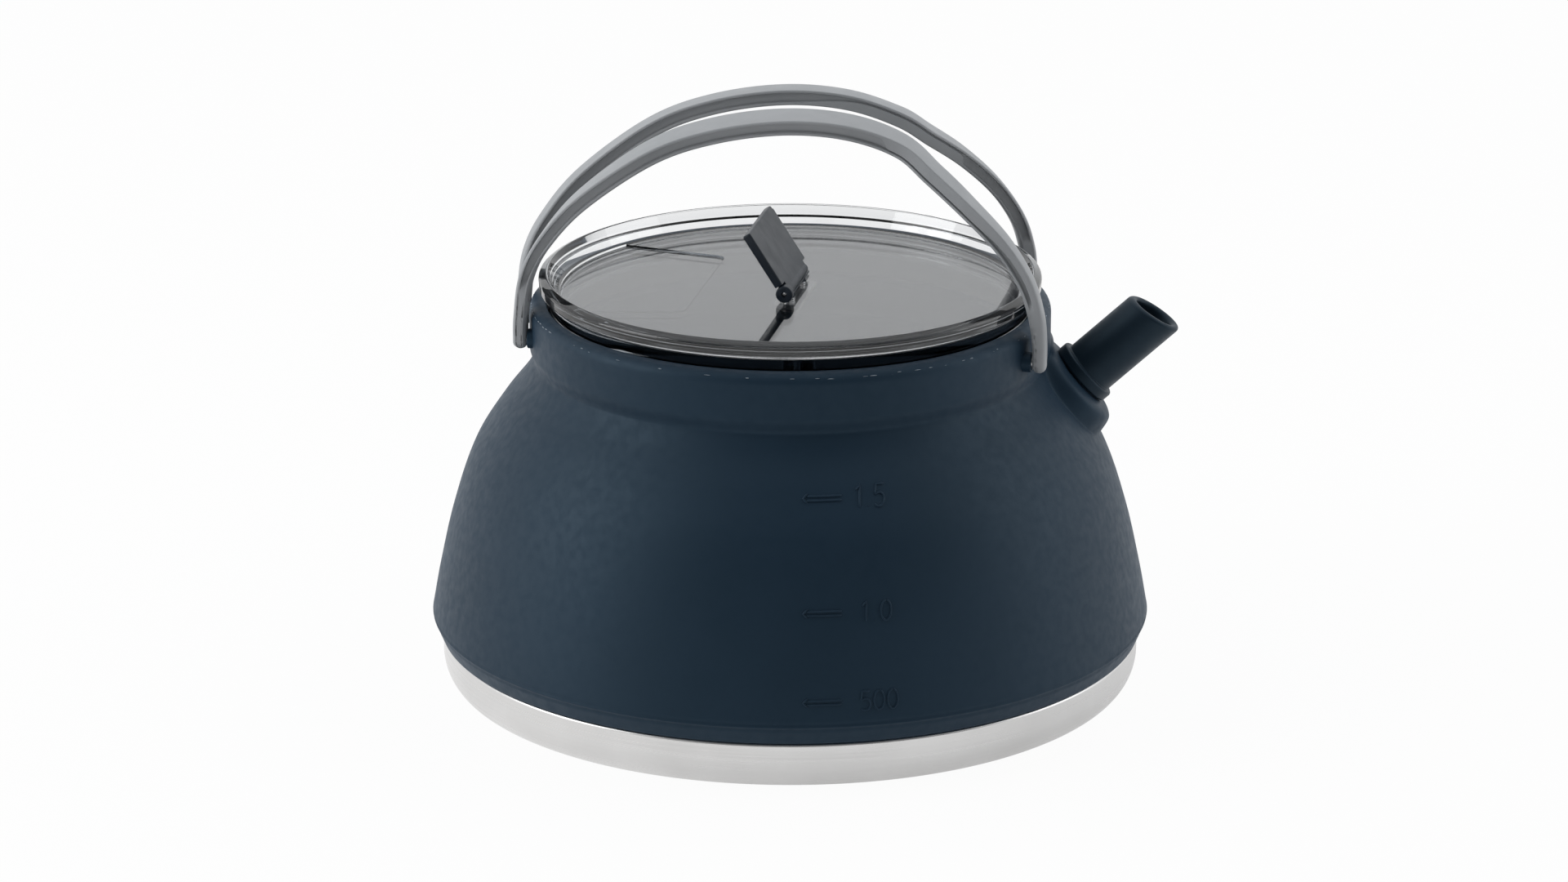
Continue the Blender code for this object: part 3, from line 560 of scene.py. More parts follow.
class NodeSheet(NodeTools):
    """A material's node tree round one Principled shader."""

    def __init__(self, name: str) -> None:
        """Start a material with a bare Principled shader.

        Args:
            name: The material's name.
        """
        self.material = bpy.data.materials.new(name)
        self.material.use_nodes = True
        super().__init__(self.material.node_tree)
        self.shader = self.tree.nodes["Principled BSDF"]

    def set(self, socket: str, value: object) -> None:
        """Give the shader a constant on one socket."""
        self.shader.inputs[socket].default_value = value

    def noise(self, scale: float, detail: float = 3.0, stretch: Point3 = (1.0, 1.0, 1.0)) -> bpy.types.Node:
        """Noise over the piece's own axes.

        Args:
            scale: Cycles per metre.
            detail: Octaves.
            stretch: Extra scale along X, Y and Z.

        Returns:
            The noise node.
        """
        where = self.add("ShaderNodeTexCoord")
        mapping = self.add("ShaderNodeMapping", Scale=stretch)
        noise = self.add("ShaderNodeTexNoise", Scale=scale, Detail=detail)
        self.join(where.outputs["Object"], mapping.inputs["Vector"])
        self.join(mapping.outputs["Vector"], noise.inputs["Vector"])
        return noise

    def ramp(
        self, source: bpy.types.NodeSocket, stops: Sequence[tuple[float, Colour]]
    ) -> bpy.types.NodeSocket:
        """Colour ramp from a value.

        Args:
            source: The value.
            stops: (position, colour) pairs; the first and last use the ramp's own two stops.

        Returns:
            The ramp's colour socket.
        """
        node = self.add("ShaderNodeValToRGB")
        elements = node.color_ramp.elements
        elements[0].position, elements[0].color = stops[0][0], stops[0][1]
        elements[1].position, elements[1].color = stops[-1][0], stops[-1][1]
        for position, colour in stops[1:-1]:
            element = elements.new(position)
            element.color = colour
        self.join(source, node.inputs["Fac"])
        return node.outputs["Color"]

    def spread(self, source: bpy.types.NodeSocket, low: float, high: float) -> bpy.types.NodeSocket:
        """Spread the middle run of a noise, 0.3 to 0.7, over a range.

        Args:
            source: The noise's value.
            low: What 0.3 becomes.
            high: What 0.7 becomes.

        Returns:
            The spread value's socket.
        """
        return self.map_range(source, (0.3, 0.7), (low, high))

    def bump(self, layers: Sequence[tuple[bpy.types.NodeSocket, float, float]]) -> None:
        """Stack bump layers on the shader.

        Args:
            layers: (height, strength, depth in metres) of each layer.
        """
        last = None
        for height, strength, depth in layers:
            node = self.add("ShaderNodeBump", Strength=strength, Distance=depth)
            self.join(height, node.inputs["Height"])
            if last is not None:
                self.join(last.outputs["Normal"], node.inputs["Normal"])
            last = node
        if last is not None:
            self.join(last.outputs["Normal"], self.shader.inputs["Normal"])


@dataclass(frozen=True)
class Silicone:
    """Moulded matt silicone with faint cloudiness, dust and a fine skin."""

    name: str
    colour: Colour
    pale: Colour
    roughness: float = 0.52
    sheen: float = 0.10
    sheen_tint: Colour = srgb(120, 155, 190)
    specular: float = 0.32
    specular_tint: Colour = srgb(200, 232, 255)
    cloud_scale: float = 24.0
    grain_scale: float = 2600.0
    dust_scale: float = 420.0

    def build(self) -> bpy.types.Material:
        """Make the material.

        Returns:
            The material.
        """
        sheet = NodeSheet(self.name)
        cloud = sheet.noise(self.cloud_scale, 4.0)
        grain = sheet.noise(self.grain_scale, 2.0)
        dust = sheet.noise(self.dust_scale, 2.0)
        tone = sheet.ramp(cloud.outputs["Fac"], [(0.30, self.colour), (0.72, self.pale)])
        sheet.join(tone, sheet.shader.inputs["Base Color"])
        sheet.join(
            sheet.spread(dust.outputs["Fac"], self.roughness - 0.05, self.roughness + 0.06),
            sheet.shader.inputs["Roughness"],
        )
        sheet.set("Specular IOR Level", self.specular)
        sheet.set("Specular Tint", self.specular_tint)
        sheet.set("Sheen Weight", self.sheen)
        sheet.set("Sheen Roughness", 0.45)
        sheet.set("Sheen Tint", self.sheen_tint)
        sheet.bump([(grain.outputs["Fac"], 0.10, 0.0001), (cloud.outputs["Fac"], 0.05, 0.0006)])
        return sheet.material


@dataclass(frozen=True)
class TurnedMetal:
    """Metal with fine rings left by turning and polishing round the kettle's axis."""

    name: str
    colour: Colour
    pale: Colour
    roughness: float = 0.30
    ring_scale: float = 1500.0
    rings_by_radius: bool = False
    stain_scale: float = 30.0

    def rings(self, sheet: NodeSheet) -> bpy.types.Node:
        """Noise that runs in rings round the axis, told apart by height or by radius.

        Args:
            sheet: The metal's node sheet.

        Returns:
            The noise node.
        """
        if not self.rings_by_radius:
            return sheet.noise(self.ring_scale, 3.0, (0.012, 0.012, 1.0))
        where = sheet.add("ShaderNodeTexCoord")
        flat = sheet.add("ShaderNodeVectorMath", operation="MULTIPLY")
        flat.inputs[1].default_value = (1.0, 1.0, 0.0)
        length = sheet.add("ShaderNodeVectorMath", operation="LENGTH")
        rings = sheet.add("ShaderNodeTexNoise", Scale=self.ring_scale, Detail=3.0)
        rings.noise_dimensions = "1D"
        sheet.join(where.outputs["Object"], flat.inputs[0])
        sheet.join(flat.outputs["Vector"], length.inputs[0])
        sheet.join(length.outputs["Value"], rings.inputs["W"])
        return rings

    def build(self) -> bpy.types.Material:
        """Make the material.

        Returns:
            The material.
        """
        sheet = NodeSheet(self.name)
        rings = self.rings(sheet)
        stain = sheet.noise(self.stain_scale, 4.0)
        tone = sheet.ramp(stain.outputs["Fac"], [(0.32, self.colour), (0.70, self.pale)])
        sheet.join(tone, sheet.shader.inputs["Base Color"])
        sheet.join(
            sheet.spread(rings.outputs["Fac"], self.roughness - 0.06, self.roughness + 0.10),
            sheet.shader.inputs["Roughness"],
        )
        sheet.set("Metallic", 1.0)
        sheet.bump([(rings.outputs["Fac"], 0.16, 0.00006), (stain.outputs["Fac"], 0.04, 0.0004)])
        return sheet.material


@dataclass(frozen=True)
class Moulded:
    """Moulded plastic with a fine grain, a cloudy tone and faint scuffs."""

    name: str
    colour: Colour
    pale: Colour
    roughness: float = 0.45
    grain_scale: float = 3200.0
    grain: float = 0.10
    specular: float = 0.5
    cloud_scale: float = 34.0
    scuff_scale: float = 260.0

    def build(self) -> bpy.types.Material:
        """Make the material.

        Returns:
            The material.
        """
        sheet = NodeSheet(self.name)
        cloud = sheet.noise(self.cloud_scale, 3.0)
        grain = sheet.noise(self.grain_scale, 2.0)
        scuffs = sheet.noise(self.scuff_scale, 4.0, (1.0, 1.0, 0.35))
        tone = sheet.ramp(cloud.outputs["Fac"], [(0.30, self.colour), (0.72, self.pale)])
        sheet.join(tone, sheet.shader.inputs["Base Color"])
        sheet.join(
            sheet.spread(scuffs.outputs["Fac"], self.roughness - 0.05, self.roughness + 0.05),
            sheet.shader.inputs["Roughness"],
        )
        sheet.set("Specular IOR Level", self.specular)
        sheet.bump([(grain.outputs["Fac"], self.grain, 0.00012), (scuffs.outputs["Fac"], 0.02, 0.0001)])
        return sheet.material


@dataclass(frozen=True)
class ClearPlastic:
    """Lightly smoked clear plastic, polished, with faint flow waviness and handling haze."""

    name: str = "smoked_clear"
    tint: Colour = (0.52, 0.55, 0.58, 1.0)
    density: float = 105.0
    roughness: float = 0.015
    ior: float = 1.53
    haze_scale: float = 60.0
    flow_scale: float = 28.0

    def build(self) -> bpy.types.Material:
        """Make the material.

        Returns:
            The material.
        """
        sheet = NodeSheet(self.name)
        haze = sheet.noise(self.haze_scale, 5.0)
        flow = sheet.noise(self.flow_scale, 2.0)
        sheet.set("Base Color", (1.0, 1.0, 1.0, 1.0))
        smoke = sheet.add("ShaderNodeVolumeAbsorption", Color=self.tint, Density=self.density)
        sheet.join(smoke.outputs["Volume"], sheet.tree.nodes["Material Output"].inputs["Volume"])
        sheet.join(
            sheet.spread(haze.outputs["Fac"], self.roughness, self.roughness + 0.035),
            sheet.shader.inputs["Roughness"],
        )
        sheet.set("IOR", self.ior)
        sheet.set("Transmission Weight", 1.0)
        sheet.bump([(flow.outputs["Fac"], 0.02, 0.0010)])
        return sheet.material


@dataclass
class Finishes:
    """Every finish of the kettle, made once."""

    silicone: bpy.types.Material
    spout: bpy.types.Material
    # Pale silicone of the painted highlight along the neck's edge.
    flash: bpy.types.Material
    steel: bpy.types.Material
    disc: bpy.types.Material
    pin: bpy.types.Material
    nylon: bpy.types.Material
    frame: bpy.types.Material
    gasket: bpy.types.Material
    knob: bpy.types.Material
    clear: bpy.types.Material

    @classmethod
    def make(cls) -> "Finishes":
        """Build all materials.

        Returns:
            The kettle's finishes.
        """
        return cls(
            silicone=Silicone("navy_silicone_skin", srgb(19, 36, 50), srgb(24, 41, 56)).build(),
            spout=Silicone("dark_spout_silicone", srgb(12, 25, 35), srgb(17, 30, 41), 0.48, 0.06).build(),
            # Pale silicone of the specks on the neck's edge: a painted highlight.
            flash=Silicone("pale_silicone_flash", srgb(120, 132, 142), srgb(165, 174, 182), 0.6, 0.1).build(),
            steel=TurnedMetal("satin_pan_steel", (0.62, 0.615, 0.61, 1.0), (0.70, 0.695, 0.69, 1.0)).build(),
            disc=TurnedMetal(
                "turned_aluminium", (0.50, 0.50, 0.51, 1.0), (0.60, 0.60, 0.61, 1.0), 0.38, 2200.0, True
            ).build(),
            pin=TurnedMetal(
                "bright_pin_steel", (0.66, 0.66, 0.66, 1.0), (0.74, 0.74, 0.74, 1.0), 0.2
            ).build(),
            nylon=Moulded("grey_nylon_grain", srgb(149, 152, 155), srgb(160, 162, 165), 0.46).build(),
            frame=Moulded("charcoal_frame_plastic", srgb(66, 70, 74), srgb(76, 80, 84), 0.45).build(),
            gasket=Moulded(
                "black_seal_rubber", srgb(26, 28, 31), srgb(36, 38, 41), 0.6, 1800.0, 0.14, 0.3
            ).build(),
            knob=Moulded(
                "navy_knob_plastic", srgb(25, 34, 45), srgb(31, 41, 52), 0.42, 2600.0, 0.14, 0.38
            ).build(),
            clear=ClearPlastic().build(),
        )


def dress(obj: bpy.types.Object, material: bpy.types.Material) -> bpy.types.Object:
    """Give a piece its finish.

    Args:
        obj: The piece.
        material: Its material.

    Returns:
        The piece.
    """
    obj.data.materials.clear()
    obj.data.materials.append(material)
    return obj


def settle(obj: bpy.types.Object, body: Body, *nodes: str) -> bpy.types.Object:
    """Let a piece ride on a body.

    Args:
        obj: The piece.
        body: The body that carries it.
        *nodes: CAD nodes that it stands for.

    Returns:
        The piece.
    """
    if nodes:
        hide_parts(*nodes)
    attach(obj, body.value)
    LOG.info("%s rides on %s", obj.name, body.value)
    return obj


# The kettle's pieces


@dataclass
class SteelPan:
    """Pressed pan with a rounded lower corner, a foot ring and a drawn-in rim."""

    radius: float = 0.0884
    band: float = 0.0123
    corner: float = 0.0054
    corner_height: float = 0.0074
    corner_steps: int = 14
    wall: float = 0.0010
    rim_inset: float = 0.0018
    rim_top: float = 0.0240
    foot: float = 0.0037
    floor_under: float = 0.0013
    disc: float = 0.0761
    disc_thickness: float = 0.0010
    groove_shares: tuple[float, ...] = (0.82, 0.64, 0.46, 0.28)
    groove_half: float = 0.0006
    groove_depth: float = 0.00025
    segments: int = 256

    def corner_points(self, inset: float) -> list[Point3]:
        """Run down the elliptical lower corner.

        Args:
            inset: How far inside the pan's outer face the curve runs.

        Returns:
            (radius, height, fillet) points from the side down to the foot.
        """
        depth, height = self.corner - inset, self.corner_height - inset
        points: list[Point3] = []
        for step in range(self.corner_steps + 1):
            turn = math.radians(90 * step / self.corner_steps)
            back, drop = 1 - math.cos(turn), 1 - math.sin(turn)
            points.append((self.radius - inset - depth * back, inset + height * drop, 0.0))
        return points

    def profile(self) -> Profile:
        """Outline the pan's section.

        Returns:
            Points from the floor's middle, inside and over the rim, round to the underside's middle.
        """
        rim = self.radius - self.rim_inset
        inner = self.radius - self.wall
        shoulder = self.band - self.wall
        foot_inner = self.radius - self.corner - self.foot
        floor_top = self.floor_under + self.wall
        return rounded(
            [
                (0.0, floor_top, 0.0),
                (foot_inner - 0.0006, floor_top, 0.0012),
                (foot_inner + 0.0008, self.wall, 0.0010),
                *reversed(self.corner_points(self.wall)[:-1]),
                (inner, shoulder, 0.0006),
                (rim - self.wall, shoulder, 0.0006),
                (rim - self.wall, self.rim_top, 0.0004),
                (rim, self.rim_top, 0.0004),
                (rim, self.band, 0.0003),
                (self.radius, self.band, 0.0008),
                *self.corner_points(0.0),
                (foot_inner, 0.0, 0.0009),
                (foot_inner - 0.0009, self.floor_under, 0.0006),
                (0.0, self.floor_under, 0.0),
            ],
            closed=False,
            spans=9,
        )

    def disc_profile(self) -> Profile:
        """Outline the heat disc's section, with rings of shallow grooves in its underside.

        Returns:
            Points from the top's middle round to the underside's middle.
        """
        top = self.disc_thickness
        corners = [(0.0, top, 0.0), (self.disc, top, 0.0002), (self.disc, 0.0, 0.0003)]
        for share in self.groove_shares:
            groove = self.disc * share
            corners.append((groove + self.groove_half, 0.0, 0.0001))
            corners.append((groove, self.groove_depth, 0.0001))
            corners.append((groove - self.groove_half, 0.0, 0.0001))
        corners.append((0.0, 0.0, 0.0))
        return rounded(corners, closed=False, spans=3)

    def build(self, finishes: Finishes) -> None:
        """Build the pan and the disc under it.

        Args:
            finishes: The kettle's finishes.
        """
        pan = even_normals(lathe("steel_pan", self.profile(), self.segments))
        settle(dress(pan, finishes.steel), Body.BASE, "base_pan")
        disc = even_normals(lathe("grooved_heat_disc", self.disc_profile(), self.segments))
        settle(dress(disc, finishes.disc), Body.BASE, "heat_spreader")


@dataclass
class SiliconeBody:
    """The silicone moulding from its hem over the pan up to the neck's round lip.

    shape holds (share of the height, share of the narrowing) points from the belly up to the neck's root.
    """

    hem_radius: float = 0.0889
    hem_height: float = 0.0126
    belly_radius: float = 0.09095
    belly_height: float = 0.0175
    root_radius: float = 0.0644
    root_height: float = 0.0830
    root_sweep: float = 0.0042
    neck_radius: float = 0.0655
    neck_top: float = 0.0984
    lip_radius: float = 0.0612
    lip_round: float = 0.0027
    wall: float = 0.00215
    groove_low: float = 0.0840
    groove_radius: float = 0.06335
    frame_drop: float = 0.0011
    fold_low: float = 0.0340
    fold_high: float = 0.0700
    fold_groove: float = 0.0006
    fold_groove_half: float = 0.0011
    pan_rim: float = 0.0866
    pan_rim_wall: float = 0.0010
    pan_rim_gap: float = 0.0003
    pan_rim_top: float = 0.0243
    grip: float = 0.0020
    spout_hole: float = 0.0082
    segments: int = 288
    shape: tuple[Point2, ...] = (
        (0.000, 0.000),
        (0.160, 0.073),
        (0.405, 0.213),
        (0.649, 0.420),
        (0.817, 0.678),
        (0.931, 0.898),
        (1.000, 1.000),
    )

    def side_radius(self, height: float) -> float:
        """Outer radius between the belly ridge and the neck's root."""
        share = (height - self.belly_height) / (self.root_height - self.belly_height)
        return self.belly_radius - (self.belly_radius - self.root_radius) * along(self.shape, share)

    def radius_at(self, height: float) -> float:
        """Outer radius from the hem to the neck.

        Args:
            height: Height above the stove.

        Returns:
            The skin's radius there.
        """
        if height < self.belly_height:
            share = (height - self.hem_height) / (self.belly_height - self.hem_height)
            return self.hem_radius + (self.belly_radius - self.hem_radius) * max(share, 0.0)
        if height < self.root_height:
            return self.side_radius(height)
        share = ease(height, self.root_height, self.root_sweep)
        return self.root_radius + (self.neck_radius - self.root_radius) * share

    def inner_radius(self, height: float) -> float:
        """Inner radius of the wall, with a shallow hinge groove at each fold line.

        Args:
            height: Height above the stove.

        Returns:
            The inner face's radius there.
        """
        near = 0.0005
        slope = (self.side_radius(height + near) - self.side_radius(height - near)) / (2 * near)
        radius = self.side_radius(height) - self.wall * math.sqrt(1 + slope * slope)
        for fold in (self.fold_low, (self.fold_low + self.fold_high) / 2, self.fold_high):
            radius += self.fold_groove * math.exp(-(((height - fold) / self.fold_groove_half) ** 2))
        return radius

    def lip_skin(self, height: float) -> float:
        """Radius of the neck's round top edge at a height on it."""
        rise = height - self.neck_top + self.lip_round
        return self.neck_radius - self.lip_round + math.sqrt(self.lip_round**2 - rise**2)

    def outer_profile(self) -> Profile:
        """Outline the outside.

        Returns:
            Points from the neck's top edge down the outside to the hem.
        """
        points: Profile = []
        lip_steps, neck_steps, side_steps, hem_steps = 8, 26, 85, 7
        lip_middle = self.neck_top - self.lip_round
        for step in range(lip_steps + 1):
            angle = math.radians(90 - 90 * step / lip_steps)
            out, up = self.lip_round * math.cos(angle), self.lip_round * math.sin(angle)
            points.append((self.neck_radius - self.lip_round + out, lip_middle + up))
        for step in range(1, neck_steps + 1):
            height = lip_middle - step * (lip_middle - self.root_height) / neck_steps
            points.append((self.radius_at(height), height))
        side_end = self.belly_height + 0.0009
        for step in range(1, side_steps + 1):
            height = self.root_height + (side_end - self.root_height) * step / side_steps
            points.append((self.side_radius(height), height))
        for back, rise in ((0.00024, 0.00045), (0.0, 0.00012), (0.00006, -0.00025), (0.00050, -0.00060)):
            points.append((self.belly_radius - back, self.belly_height + rise))
        for step in range(1, hem_steps + 1):
            share = 0.12 + 0.86 * step / hem_steps
            radius = self.belly_radius + (self.hem_radius - self.belly_radius) * share
            points.append((radius, self.belly_height + (self.hem_height - self.belly_height) * share))
        points.append((self.hem_radius - 0.00005, self.hem_height + 0.00004))
        points.append((self.hem_radius - 0.0003, self.hem_height))
        return points

    def hem_profile(self) -> Profile:
        """Outline the hem, which grips the pan's rim from both sides.

        Returns:
            Points from the hem's outer edge round the rim's groove to the wall's inner face.
        """
        groove_out = self.pan_rim + self.pan_rim_gap
        groove_in = self.pan_rim - self.pan_rim_wall - self.pan_rim_gap
        inner = groove_in - self.grip
        top = self.pan_rim_top
        return rounded(
            [
                (self.hem_radius - 0.0003, self.hem_height, 0.0),
                (groove_out, self.hem_height, 0.0001),
                (groove_out, top, 0.0003),
                (groove_in, top, 0.0003),
                (groove_in, self.hem_height, 0.0003),
                (inner, self.hem_height, 0.0006),
                (inner, top, 0.0015),
                (self.inner_radius(top + 0.0050), top + 0.0050, 0.0),
            ],
            closed=False,
            spans=4,
        )

    def section(self) -> Profile:
        """Outline the whole wall.

        Returns:
            Closed section: outside down, hem, inside up, the neck frame's groove and the lip.
        """
        points = self.outer_profile() + self.hem_profile()[1:]
        low = self.pan_rim_top + 0.0050
        high = self.root_height - self.wall / 2
        wall_steps = 64
        for step in range(1, wall_steps + 1):
            height = low + (high - low) * step / wall_steps
            points.append((self.inner_radius(height), height))
        neck_inner = self.root_radius - self.wall
        frame_top = self.neck_top - self.frame_drop
        points += rounded(
            [
                (neck_inner, high + 0.0004, 0.0),
                (neck_inner, self.groove_low, 0.0002),
                (self.groove_radius, self.groove_low, 0.0002),
                (self.groove_radius, frame_top, 0.0002),
                (self.lip_radius, frame_top, 0.0002),
                (self.lip_radius, self.neck_top, 0.0005),
                (self.neck_radius - self.lip_round, self.neck_top, 0.0),
            ],
            closed=False,
            spans=4,
        )[:-1]
        return points

    def build(self, finishes: Finishes, spout: "Spout") -> None:
        """Build the skin with its hole for the spout, and the spout's boss.

        Args:
            finishes: The kettle's finishes.
            spout: The spout that the boss carries.
        """
        skin = lathe("silicone_body", self.section(), self.segments, closed=True)
        outer_end, inner_end = 0.004, -0.020
        rod = [(0.0, outer_end), (self.spout_hole, outer_end), (self.spout_hole, inner_end), (0.0, inner_end)]
        skin = even_normals(carve(skin, place(lathe("spout_hole", rod, 64), spout.axes())), 55.0)
        self.hang(dress(skin, finishes.silicone))
        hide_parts("body_lower_wall", "body_fold_wall", "body_shoulder")
        self.hang(dress(spout.boss(self), finishes.silicone))

    def hang(self, piece: bpy.types.Object) -> None:
        """Fix a piece's mesh in the kettle's axes and log its name."""
        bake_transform(piece)
        LOG.info("%s bends between base and neck", piece.name)


@dataclass
class PaintedLipHighlight:
    """Small pale specks in a line round the neck's outer edge, a painted highlight along the lip drawn as
    torn specks.
    """

    seed: int = 7
    height: float = 0.0973
    run: Point2 = (0.4, 1.6)
    gap: Point2 = (0.4, 1.9)
    speck_share: float = 0.75
    wander: float = 0.00025
    size: Point2 = (0.00005, 0.00013)
    root: float = 0.0001
    stations: int = 5

    def specks(self) -> list[tuple[float, float, float, float]]:
        """Draw the specks' places round the neck.

        Returns:
            (first angle, last angle, lift, size) of each speck, the angles in degrees.
        """
        rng = random.Random(self.seed)
        specks: list[tuple[float, float, float, float]] = []
        angle = -179.0
        while angle < 180.0:
            run = rng.uniform(*self.run)
            if rng.random() < self.speck_share:
                lift = rng.uniform(-self.wander, self.wander)
                specks.append((angle, angle + run, lift, rng.uniform(*self.size)))
            angle += run + rng.uniform(*self.gap)
        return specks

    def build(self, finishes: Finishes, body: SiliconeBody) -> None:
        """Build all specks as one piece on the neck.

        Args:
            finishes: The kettle's finishes.
            body: The silicone body that they stand on.
        """
        vertices: list[Point3] = []
        faces: list[Face] = []
        skin = body.lip_skin(self.height)
        for start, end, lift, size in self.specks():
            base = len(vertices)
            for index in range(self.stations):
                turn = math.radians(start + (end - start) * index / (self.stations - 1))
                bulge = size * math.sin(math.pi * (index + 0.5) / self.stations)
                for out, up in ((-self.root, -bulge), (bulge, 0.0), (-self.root, bulge)):
                    radius = skin + out
                    height = self.height + lift + up
                    vertices.append((radius * math.cos(turn), radius * math.sin(turn), height))
            for index in range(self.stations - 1):
                a = base + 3 * index
                for first, second in ((0, 1), (1, 2), (2, 0)):
                    faces.append((a + first, a + second, a + 3 + second, a + 3 + first))
            last = base + 3 * (self.stations - 1)
            faces += [(base, base + 1, base + 2), (last, last + 2, last + 1)]
        # The pale specks are a painted highlight along the neck's round edge.
        specks = mesh_object("moulding_flash", vertices, faces)
        settle(dress(specks, finishes.flash), Body.NECK)


@dataclass
class FillMarks:
    """Raised fill marks on the front: a bar with a point and a plain number at each level."""

    height: float = 0.0046
    stroke: float = 0.00052
    relief: float = 0.00036
    advance: float = 0.0034
    bar_left: float = 0.0030
    bar_right: float = 0.0124
    bar_half: float = 0.00045
    tip_run: float = 0.0011
    tip_half: float = 0.0010
    longest: float = 0.0005
    end_taper: float = 0.35
    levels: tuple[tuple[str, float, float], ...] = (
        ("1.5", 0.0700, 0.0152),
        ("1.0", 0.0446, 0.0168),
        ("500", 0.0235, 0.0168),
    )

    def strokes(self, character: str) -> list[list[Point2]]:
        """Draw one character.

        Args:
            character: A digit of the marks, or the point between two.

        Returns:
            Its pen strokes, in a box 0.6 wide and 1 high.
        """
        bowl = bow((0.29, 0.31), (0.29, 0.31), (130, -140), 16)
        shapes: dict[str, list[list[Point2]]] = {
            "0": [bow((0.3, 0.5), (0.28, 0.5), (90, 450), 24)],
            "1": [[(0.12, 0.78), (0.34, 1.0), (0.34, 0.0)]],
            "5": [[(0.56, 1.0), (0.12, 1.0), (0.08, 0.56), *bowl]],
            ".": [[(0.05, 0.03), (0.11, 0.03)]],
        }
        return shapes[character]

    def lines(self) -> list[list[Point2]]:
        """Lay out every mark.

        Returns:
            Lines of (distance round the front, height) points.
        """
        lines: list[list[Point2]] = []
        for text, level, start in self.levels:
            low = level - self.height / 2
            pen = start
            for character in text:
                for stroke in self.strokes(character):
                    lines.append([(pen + x * self.height, low + y * self.height) for x, y in stroke])
                pen += self.advance * (0.5 if character == "." else 1.0)
            for offset in (-self.bar_half, self.bar_half):
                lines.append([(self.bar_left + 0.0008, level + offset), (self.bar_right, level + offset)])
            tip = self.bar_left + self.tip_run
            lines.append([(tip, level + self.tip_half), (self.bar_left, level), (tip, level - self.tip_half)])
        return lines

    def ridge(self, line: list[Point2], body: SiliconeBody) -> tuple[list[Point3], list[Face]]:
        """Shape one rounded ridge along a line drawn on the wall.

        Args:
            line: (distance round the front, height) points.
            body: The wall.

        Returns:
            The ridge's points and its faces.
        """
        fine: list[Vector] = []
        for first, second in zip(line, line[1:]):
            a, b = Vector(first), Vector(second)
            pieces = max(1, round((b - a).length / self.longest))
            fine += [a.lerp(b, step / pieces) for step in range(pieces)]
        fine.append(Vector(line[-1]))
        section = ((-1.0, -0.6), (-0.8, 0.55), (-0.4, 1.0), (0.4, 1.0), (0.8, 0.55), (1.0, -0.6))
        count = len(section)
        points: list[Point3] = []
        for index, centre in enumerate(fine):
            ahead = fine[min(index + 1, len(fine) - 1)] - fine[max(index - 1, 0)]
            across = Vector((-ahead.y, ahead.x)).normalized() * self.stroke / 2
            end = self.end_taper if index in (0, len(fine) - 1) else 1.0
            for side, lift in section:
                spot = centre + across * side * end
                skin = body.radius_at(spot.y)
                radius = skin + self.relief * (lift if lift < 0 else lift * end)
                turn = spot.x / skin
                points.append((radius * math.sin(turn), -radius * math.cos(turn), spot.y))
        faces: list[Face] = []
        last = (len(fine) - 1) * count
        for a in range(0, last, count):
            for step in range(count):
                following = (step + 1) % count
                faces.append((a + step, a + following, a + count + following, a + count + step))
        faces += [tuple(range(count)), tuple(reversed(range(last, last + count)))]
        return points, faces

    def build(self, finishes: Finishes, body: SiliconeBody) -> None:
        """Build all marks as one piece that follows the wall.

        Args:
            finishes: The kettle's finishes.
            body: The silicone body whose surface carries the marks.
        """
        vertices: list[Point3] = []
        faces: list[Face] = []
        for line in self.lines():
            base = len(vertices)
            points, ridge_faces = self.ridge(line, body)
            vertices += points
            faces += [tuple(base + corner for corner in face) for face in ridge_faces]
        marks = mesh_object("raised_fill_marks", vertices, faces)
        dress(marks, finishes.silicone)
        body.hang(marks)


